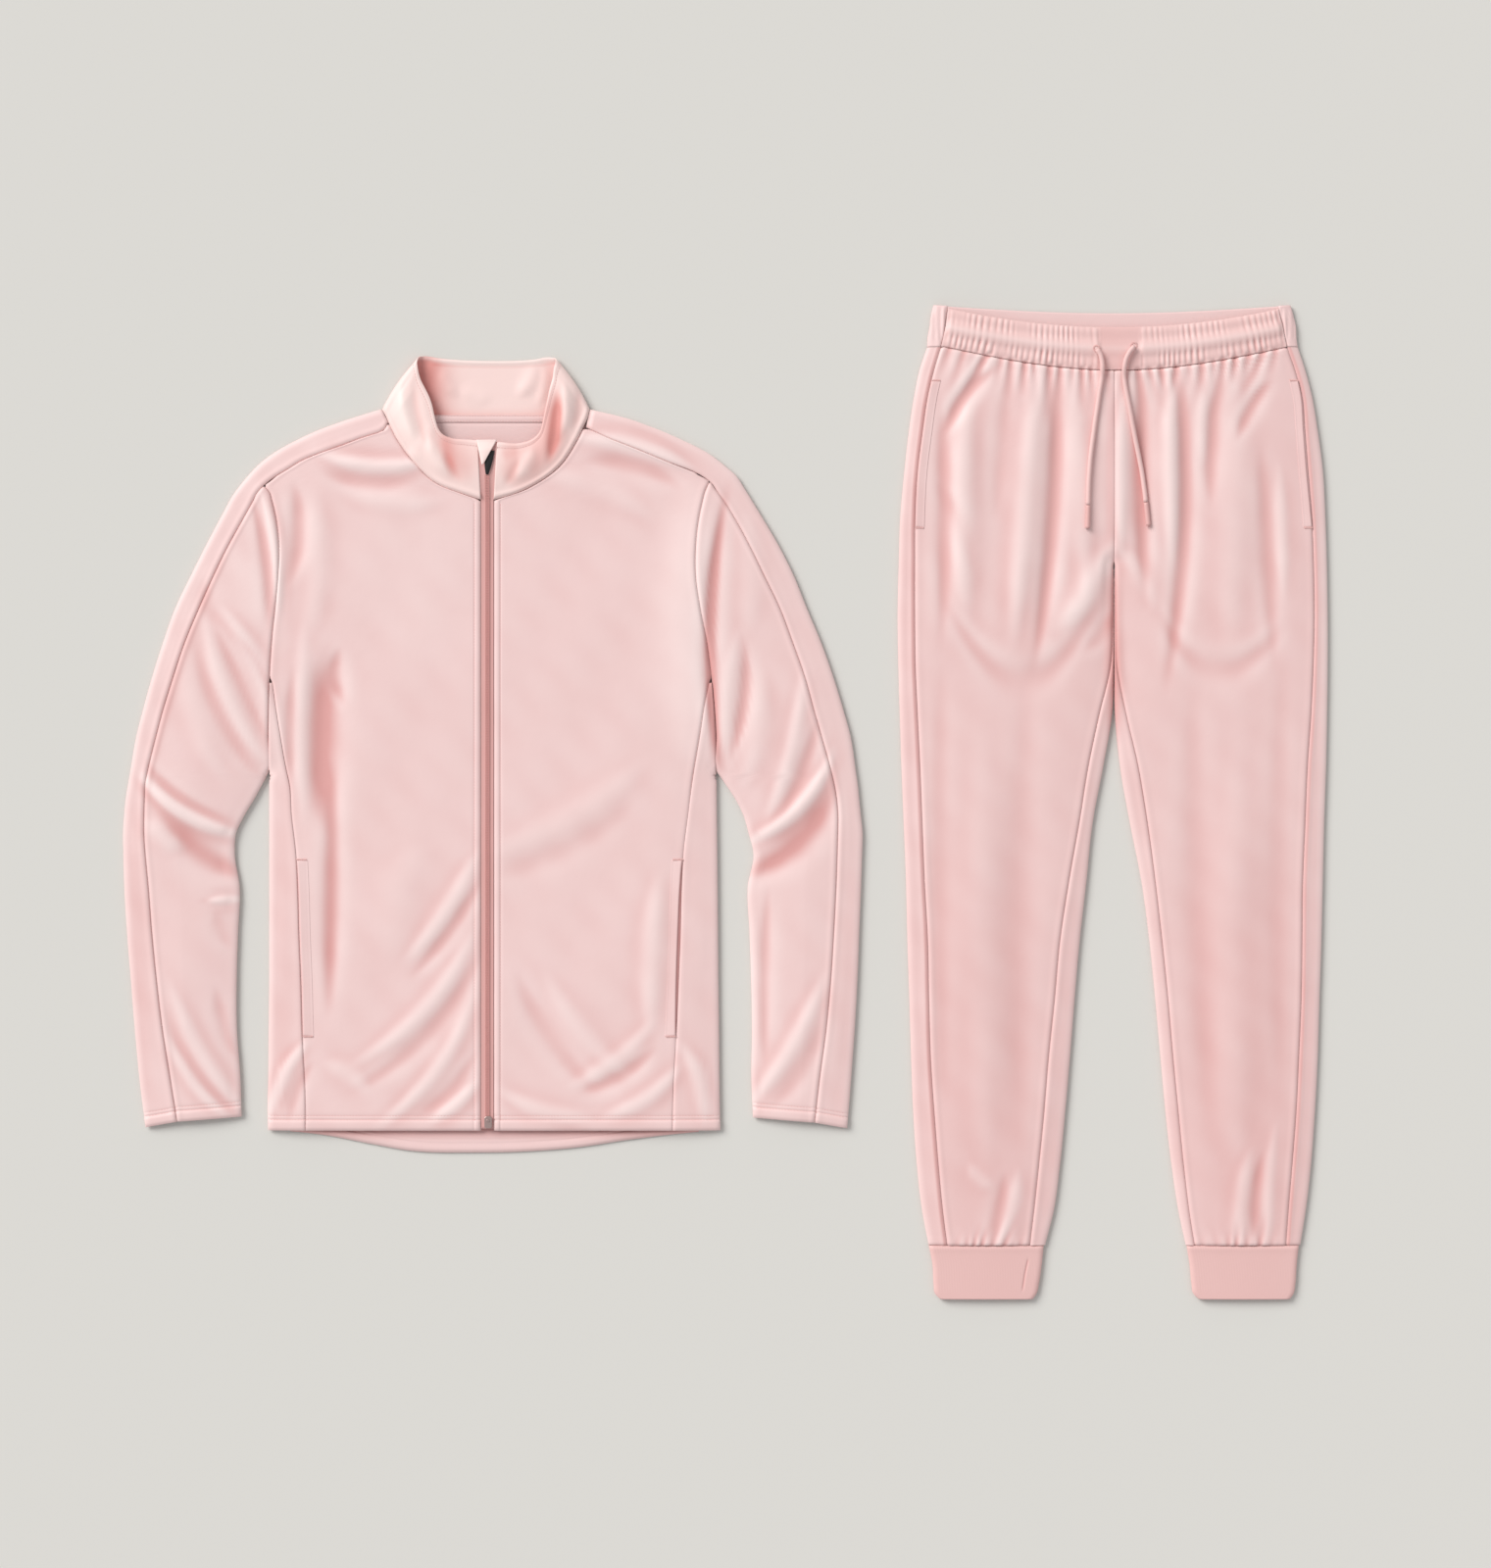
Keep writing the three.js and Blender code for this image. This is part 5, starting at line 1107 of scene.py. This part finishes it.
waist_gathers = gathers(WAIST_GATHERS, lambda x: WAIST_SEAM_Y + sag_at(x), 1)
ankle_gathers = gathers(ANKLE_GATHERS, lambda x: LEG_END_Y, -1)
trouser_edges = []
for side in SIDES:
    waist_line = line_of(WAIST[side], WAIST["y"])
    trouser_edges.append(waist_line + line_of(LEGS[side]["edge"], LEGS[side]["y"]))
    trouser_edges.append(line_of(INSEAMS[side]["inner"], INSEAMS[side]["y"]))
trouser_reliefs = [creases(TROUSER_FOLDS), waist_gathers, ankle_gathers, slack]
# Painted shade, or a painted highlight where deep is below 0, put into the knit's colour beyond what is
# painted from its creases: shade down the inseam and on one side strip, a paler other strip, and shade and
# highlight on the thigh folds. The two broad rows make the legs darker towards their ends.
TROUSER_PAINTED_SHADES = table(
    "x1 y1 x2 y2 bend wide deep",
    [
        (1002, 840, 1006, 1290, 0, 70, 0.2), (1262, 840, 1262, 1290, 0, 70, 0.25),
        (1348, 360, 1344, 1270, -8, 9, -0.3), (925, 360, 934, 1270, 10, 9, 0.1),
        (1136, 584, 1136, 770, 0, 8, 1.1), (1012, 420, 1010, 640, 0, 14, -0.2),
        (1124, 400, 1122, 580, 0, 8, -0.35), (1192, 600, 1194, 700, 0, 14, 0.2),
        (1160, 400, 1158, 600, 0, 9, 0.25), (1052, 600, 1050, 690, 0, 12, 0.2),
        (1110, 570, 1084, 650, 0, 20, -0.2),
    ],
)
trouser_lie, trouser_painted_shading = lying(trouser_edges, trouser_reliefs, TROUSER_PAINTED_SHADES)
CROTCH_Y = 577
# The legs' knit is a deeper copy of the jacket's, as painted shade for the light that falls off towards the
# lower right
LEG_KNIT = polyester_knit("smooth_polyester_knit_legs", "#eccac8", "#eac5c2")
for side, inward in SIDES.items():
    leg, inseam = LEGS[side], INSEAMS[side]
    y = rows_between(WAIST_SEAM_Y, LEG_END_Y, 4.2, start=SEAM_STOPS)
    outer_x = x_at(leg, "seam", y)
    inner_x = np.where(y < CROTCH_Y, FLY_X, x_at(inseam, "inseam", y))
    shares = spread(200, 2.6)
    start, end = outer_x + inward * SEAM_GAP / 2, inner_x - inward * SEAM_GAP / 2
    x = between(start, end, shares)
    y_grid = sagged(x, y[:, None] + 0 * x)
    across = np.abs(end - start)[:, None]
    fly = np.where(y < CROTCH_Y, 0.55, 1)[:, None]
    z = trouser_lie(x, y_grid) + seam_dip(across * shares) + fly * seam_dip(across * (1 - shares))
    z = z + seam_dip(y - WAIST_SEAM_Y)[:, None] + seam_dip(LEG_END_Y - y)[:, None]
    held = dict(material=LEG_KNIT, on="table_top")
    painted_shading = trouser_painted_shading(x, y_grid)
    make_cloth(f"leg_panel_{side}", f"leg_front_{side}", x, y_grid, z, painted_shading=painted_shading, **held)

    edge_x = x_at(leg, "edge", y)
    x, y_grid, z = wrapped_panel(y, outer_x, edge_x, 0 * y, TURN_UNDER, trouser_lie)
    z = z + np.where(z > 3, seam_dip(LEG_END_Y - y_grid), 0)
    seam_band = 0.55 * np.exp(-(((np.abs(x - outer_x[:, None]) - 2.2) / 1.8) ** 4)) * (z > 3)
    painted_shading = trouser_painted_shading(x, y_grid) + seam_band
    make_cloth(f"leg_strip_{side}", f"leg_side_strip_{side}", x, y_grid, z, painted_shading=painted_shading, **held)

    inner_edge = np.where(y < CROTCH_Y, FLY_X - inward * 0.2, x_at(inseam, "inner", y))
    forward = np.where(y < CROTCH_Y + 8, inner_edge - inward * 4, x_at(inseam, "inseam", y))
    under = np.abs(inner_edge - edge_x) - TURN_UNDER - SEAM_GAP
    way = dict(first=2 * smooth((CROTCH_Y + 14 - y) / 14), columns=(7, 11, 14))
    x, y, z = wrapped_panel(y, forward, inner_edge, 0 * y, under, trouser_lie, **way)
    painted_shading = np.where(z > 3, trouser_painted_shading(x, y), 0)
    make_cloth(f"leg_under_{side}", f"leg_back_{side}", x, y, z, painted_shading=painted_shading, **held)

TROUSER_POCKET = 389, 539
TROUSER_GAPE = {"right": 0.3, "left": 1.5}
lay = trouser_lie, trouser_painted_shading
for side, leg in LEGS.items():
    seam, gape = (leg["y"], leg["seam"]), TROUSER_GAPE[side]
    welt("trouser", side, seam, TROUSER_POCKET, 9, gape, 0.2, lay, f"leg_panel_{side}", LEG_KNIT)


# Waistband
# A doubled band of knit over an elastic, stitched through along its middle, so that the cloth gathers into
# fine ribs above and below a smooth ridge. The back half shows its inside above the dipped front.
RIB_COUNT = 58
BAND_TOP, BACK_RIB = 313, 6.0
RIB_KNIT = polyester_knit("gathered_polyester_knit", "#edcac7", "#e8bfbb", roughness=0.55)


def front_top_y(x):
    """The front's upper edge, dipped between the hips."""
    return BAND_TOP + 22 * np.sin(np.pi * np.clip((x - 962) / 350, 0, 1)) ** 0.8


def back_dip(x, y):
    """The back's rows dip a little too, least at the waist seam."""
    return y + 8 * np.sin(np.pi * np.clip((x - 952) / 364, 0, 1)) * smooth((WAIST_SEAM_Y - y) / 42)


y = np.linspace(312, 354.7, 26)
halves = []
for side in SIDES:
    edge_x = x_at(WAIST, side, y)
    seam_x = x_at(WAIST, "seam_" + side, y)
    under = np.abs(WAIST_MIDDLE - edge_x)
    halves.append(wrapped_panel(y, seam_x, edge_x, 0 * y, under, trouser_lie, columns=(9, 12, 60)))
x, y, z = (np.concatenate([a, b[:, -2::-1]], axis=1) for a, b in zip(*halves))
rib = np.cos(2 * np.pi * (x - 950) / BACK_RIB)
z = np.where(z < 1, 1.2, z)
z = z + 0.5 * rib * smooth((y - BAND_TOP) / 4) * smooth((WAIST_SEAM_Y - 5 - y) / 6)
y = back_dip(x, y)
make_cloth("waistband_inside", "waistband_back", x, y, z, KNIT, "rib_knit", on="table_top")

shares = np.linspace(0, 1, RIB_COUNT * 8 + 1)[None, :]
down = np.linspace(0, 1, 28)[:, None]
row_y = 314 + (WAIST_SEAM_Y - 314) * down
start = x_at(WAIST, "seam_right", row_y) + 0.15
end = x_at(WAIST, "seam_left", row_y) - 0.15
x = start + (end - start) * shares
y = front_top_y(x) + (sagged(x, WAIST_SEAM_Y) - 0.3 - front_top_y(x)) * down
wobble = 0.8 * np.sin(x / 19.0) + 0.45 * np.sin(x / 8.3 + 1.0) + 0.5 * (down - 0.5) * np.sin(x / 31.0)
uneven = 0.6 + 0.34 * np.sin(x / 11.3 + 2 * down) + 0.3 * np.sin(x / 4.9 - 3 * down)
ribs = uneven * (np.abs(np.cos(np.pi * RIB_COUNT * shares + wobble)) ** 1.2 - 0.55)
insert = smooth((np.abs(x - 1141.5) - 18) / 6)
profile = table(
    "down rib ridge",
    [
        (0, 0.3, -0.4), (0.06, 0.6, 0.6), (0.3, 0.75, 0.9), (0.4, 0.25, 2.3), (0.5, 0.12, 3.0),
        (0.6, 0.35, 2.2), (0.7, 1.1, 0.7), (0.88, 1.0, 0.5), (1, 0.35, -0.7),
    ],
)
rib_depth = np.interp(down, profile["down"], profile["rib"])
ridge = flowing(profile["down"], profile["ridge"])(down)
ends = smooth(shares / 0.015) * smooth((1 - shares) / 0.015)
ribs = ribs * rib_depth * insert
z = trouser_lie(x, np.maximum(y, 324)) + ends * (ridge * (0.35 + 0.65 * insert) + 1.7 * ribs)
z = np.maximum(z, 3.6)
# Painted highlight on the rib crests and the stitched ridge, painted shade in the rib troughs, and deeper
# colour over the smooth middle insert
painted_shading = 0.2 * (1 - insert) - 0.75 * ribs - 0.3 * bump(down - 0.5, 0.1)
band_x, band_y, band_z = x, y, z
name, node_name = "waistband_ribs", "waistband_front"
make_cloth(name, node_name, x, y, z, RIB_KNIT, "rib_knit", on="waistband_inside", painted_shading=painted_shading)


def band_surface(x, y):
    nearest = np.argmin((band_x - x) ** 2 + (band_y - y) ** 2)
    return band_z.flat[nearest]


# Ankle cuffs
# A short tube of rib knit, doubled and pressed flat, sewn to the gathered end of each leg.
CUFFS = both_sides(
    "y outer inner",
    right=[
        (1270.3, 947.2, 1064.5), (1290, 951, 1062.5), (1310, 952.2, 1059.5), (1320, 953.8, 1057),
        (CUFF_END_Y, 958.5, 1053.5),
    ],
    left=[
        (1270.3, 1324.5, 1209.8), (1290, 1322.4, 1213), (1310, 1321, 1215), (1320, 1319, 1217),
        (CUFF_END_Y, 1315.5, 1222),
    ],
)
CUFF_KNIT = polyester_knit("fine_rib_knit", "#e8c0bc", "#e4b7b3", roughness=0.55)
# The cuff's own seam shows near the inner edge of the wearer's right cuff
CUFF_SEAM = ((1048, 1286), (1045, 1300), (1043, 1314))
CUFF_HEIGHT, CUFF_ROUND, KNIT_RIB = 6.6, 6.0, 2.6
for side, cuff in CUFFS.items():
    y = rows_between(1270.3, CUFF_END_Y, 2.4, start=SEAM_STOPS, end=(0, 1, 2, 3.4))[:, None]
    ends = x_at(cuff, "outer", y), x_at(cuff, "inner", y)
    low, high = np.minimum(*ends), np.maximum(*ends)
    around = np.linspace(0, 1, 381)[None, :]
    flat = 0.46
    on_top = np.clip(around / flat, 0, 1)
    right_turn = np.clip((around - flat) / (0.5 - flat), 0, 1)
    beneath = np.clip((around - 0.5) / flat, 0, 1)
    left_turn = np.clip((around - 0.5 - flat) / (0.5 - flat), 0, 1)
    half = CUFF_HEIGHT / 2
    x = low + CUFF_ROUND + (high - low - 2 * CUFF_ROUND) * (on_top - beneath)
    x = x + CUFF_ROUND * (np.sin(np.pi * right_turn) - np.sin(np.pi * left_turn))
    z = half + half * np.where(beneath > 0, -np.cos(np.pi * left_turn), np.cos(np.pi * right_turn))
    ribs = 0.05 * np.cos(2 * np.pi * (x - low) / KNIT_RIB)
    swell = 0.8 * np.sin(np.pi * on_top) * (beneath == 0)
    z = z + np.where(z > 3, ribs + swell, 0) + np.where(z > 3, seam_dip(y - 1270.3), 0)
    y = y + 0 * x
    joined = bump(distance_to(CUFF_SEAM, x, y), 1.0) * (z > 3)
    z = np.maximum(z - 0.7 * joined, 0.05)
    held = dict(slot="rib_knit", ring=True, on="table_top")
    make_cloth(f"rib_cuff_{side}", f"ankle_cuff_{side}", x, y, z, CUFF_KNIT, painted_shading=0.5 * joined, **held)


# Drawcord
# A flat-braided polyester cord runs in the waistband and comes out of two stitched eyelets. Its free ends lie
# on the legs, and each is closed by a heat-shrunk tip.
CORD_WIDTH = 4.8
CORDS = both_sides(
    "x y",
    right=[
        (1117.5, 358), (1120.8, 362.5), (1122.6, 369), (1123.3, 377), (1122.9, 385), (1121.8, 393),
        (1120.3, 402), (1118.8, 413), (1117.3, 423), (1115.8, 433), (1114.2, 445), (1112.5, 457),
        (1111.2, 468), (1110.2, 480), (1109.4, 492), (1109, 504), (1108.8, 516),
    ],
    left=[
        (1155.8, 355), (1150.8, 360.8), (1147.2, 368), (1145.5, 376), (1145.4, 385), (1146.4, 394),
        (1148, 403), (1150, 413), (1152, 423), (1153.8, 433), (1155.8, 443), (1157.8, 453), (1160, 463),
        (1162.1, 473), (1164, 483), (1165.5, 494), (1166.8, 504), (1167.8, 513),
    ],
)
TIPS = {"right": ((1108.8, 516.6), (1108.2, 540)), "left": ((1167.9, 513.6), (1170.3, 537))}
braid = polyester_knit("braided_polyester_cord", "#edcbc8", "#e4b9b5", wale_mm=1.2, roughness=0.6)
tip_film = polyester_knit("shrunk_film_tip", "#e2b4b0", "#dfaeaa", wale_mm=2.0, roughness=0.35)


def run_of(points):
    """How far along its line each point lies."""
    return np.concatenate([[0], np.cumsum(np.linalg.norm(np.diff(points, axis=0), axis=1))])


def tube(name, points, width, material, rings, sides=16):
    """A round cord along the points, closed at both ends."""
    run = run_of(points)
    fine = np.linspace(0, run[-1], rings)
    line = np.stack([flowing(run, points[:, k])(fine) for k in range(3)], axis=1)
    ahead = np.gradient(line, axis=0)
    ahead /= np.linalg.norm(ahead, axis=1)[:, None]
    side_way = np.cross(ahead, (0, 0, 1))
    side_way /= np.linalg.norm(side_way, axis=1)[:, None]
    up_way = np.cross(side_way, ahead)
    turn = np.linspace(0, 2 * np.pi, sides + 1)[:, None]
    out = side_way[:, None] * np.cos(turn) + up_way[:, None] * np.sin(turn)
    round_it, along = np.meshgrid(turn * width / 2, fine)
    bm = grid_of(line[:, None] + out * width / 2, np.stack([round_it, along], axis=2))
    bmesh.ops.remove_doubles(bm, verts=bm.verts, dist=1e-6)
    open_edges = [edge for edge in bm.edges if edge.is_boundary]
    bmesh.ops.holes_fill(bm, edges=open_edges, sides=0)
    bmesh.ops.recalc_face_normals(bm, faces=bm.faces)
    return finish_piece(name, bm, material), line


def resting(xs, ys):
    """A cord's line over these places, at the height where it lies on the cloth beneath it."""
    near_x = xs[:, None] + np.array([-3, 0, 3, -3, 0, 3, 0])
    near_y = ys[:, None] + np.array([-4, -4, -4, 4, 4, 4, 0])
    band = np.where(near_y < sagged(near_x, WAIST_SEAM_Y), 2.4, -0.3)
    zs = (trouser_lie(near_x, near_y) + band).max(axis=1) + CORD_WIDTH / 2
    return np.stack([xs, ys, zs], axis=1)


for side, cord in CORDS.items():
    cord_piece, cord_line = tube(f"cord_{side}", resting(cord["x"], cord["y"]), CORD_WIDTH, braid, 60)
    tip = resting(*np.linspace(*TIPS[side], 4).T)
    tip_piece, _ = tube(f"cord_tip_{side}", tip, CORD_WIDTH + 0.2, tip_film, 12)
    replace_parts(cord_piece, f"drawcord_end_{side}")
    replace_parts(tip_piece, f"drawcord_tip_{side}")
    lay = dict(far_end="fitting", stiffness="limp", lay="loose", with_pieces=[tip_piece])


# Sewing
# The hems are coverstitched in two rows, the zip, collar and neck tape are topstitched, and the pockets end
# in bar tacks. The cord's two eyelets are worked in thread. All of it is polyester, a shade deeper.
THREAD = plain("twisted_polyester_thread", "#e6bab6", 0.45)
STITCH_LONG, STITCH_GAP, STITCH_WIDE, STITCH_HIGH = 2.3, 0.8, 0.55, 0.4


def sew(name, rows, long=STITCH_LONG, gap=STITCH_GAP, wide=STITCH_WIDE):
    """Stitches end to end along each row of (x, y, z) points, joined as one piece."""
    bm = bmesh.new()
    for row in rows:
        run = run_of(row)
        for middle in np.arange(long / 2 + gap, run[-1] - long / 2, long + gap):
            x1, y1, z1 = (np.interp(middle - long / 2, run, row[:, k]) for k in range(3))
            x2, y2, z2 = (np.interp(middle + long / 2, run, row[:, k]) for k in range(3))
            turn = Matrix.Rotation(math.atan2(y1 - y2, x2 - x1), 4, "Z")
            size = Matrix.Diagonal((long * MM, wide * MM, STITCH_HIGH * MM, 1))
            centre = Matrix.Translation(place((x1 + x2) / 2, (y1 + y2) / 2, (z1 + z2) / 2))
            bmesh.ops.create_icosphere(bm, subdivisions=1, radius=0.62, matrix=centre @ turn @ size)
    return finish_piece(name, bm, THREAD)


def seam_row(x, y, z):
    return np.stack(np.broadcast_arrays(x, y, z), axis=1)


def on_cloth(x, y, lie, lift):
    x, y = np.broadcast_arrays(x, y)
    return seam_row(x, y, lie(x, y) + lift)


hem_x = {"right": (276, 490), "left": (505.5, 733)}
for side, inward in SIDES.items():
    sleeve = SLEEVES[side]
    rows = []
    for up in HEM_ROWS:
        lift = hem_relief(up) + 0.15
        x = np.linspace(*hem_x[side], 80)
        rows.append(on_cloth(x, HEM_Y - up, jacket_lie, lift))
        seam, edge, arm = (float(sleeve[part][-1]) for part in ("seam", "edge", "arm"))
        x = np.linspace(edge + inward * 3, arm - inward * 3, 30)
        outer_share = np.clip(inward * (seam - x) / STRIP_WIDE, 0, 1)
        inner_share = np.clip(inward * (x - seam) / CUFF_WIDE, 0, 1)
        cuff_y = sleeve["y"][-1] - up + CUFF_OUTER * outer_share + CUFF_INNER * inner_share
        rows.append(on_cloth(x, cuff_y, jacket_lie, lift))
    sew(f"hem_stitches_{side}", rows)
    zip_x = ZIP_LINE - inward * (FRONT_EDGE + TOPSTITCH)
    sew(f"zip_stitches_{side}", [on_cloth(zip_x, np.linspace(514, 1149, 200), jacket_lie, -0.25)])
    jacket_tacks = BODIES[side], "side", JACKET_POCKET, 11, jacket_lie
    trouser_tacks = LEGS[side], "seam", TROUSER_POCKET, 9, trouser_lie
    tacks = []
    for lines, seam, pocket_ends, width, lie in (jacket_tacks, trouser_tacks):
        for tack_y in pocket_ends:
            x = np.interp(tack_y, lines["y"], lines[seam]) + np.linspace(0, inward * width, 8)
            tacks.append(on_cloth(x, tack_y, lie, 0.75))
    sew(f"bar_tacks_{side}", tacks, long=0.5, gap=0.08, wide=1.7)

rim_column = np.argmin(np.abs(from_rim - RIM_STITCH))
shown = np.where(upper_layer[:, rim_column] > 0.6)[0]
halves = np.split(shown, [len(shown) // 2])
sew("collar_stitches", [collar_surface[half, rim_column] + (0, 0, 0.15) for half in halves])
tape_x = np.linspace(409, 585, 60)
sew("tape_stitches", [seam_row(tape_x, NECK_SEAM_Y + off, 2.3) for off in (-TAPE_STITCH, TAPE_STITCH)])
inside_x = np.linspace(966, 1302, 60)
sew("waistband_stitches", [seam_row(inside_x, back_dip(inside_x, 319), 1.8)])
eyelets = []
turns = np.linspace(0, 2 * np.pi, 40)
for cord in CORDS.values():
    hole_x, hole_y = cord["x"][0], cord["y"][0] - 1
    eyelet_z = band_surface(hole_x, hole_y) + 0.2
    eyelets.append(seam_row(hole_x + 3 * np.cos(turns), hole_y + 3 * np.sin(turns), eyelet_z))
sew("cord_eyelets", eyelets, long=0.55, gap=0.1, wide=1.9)
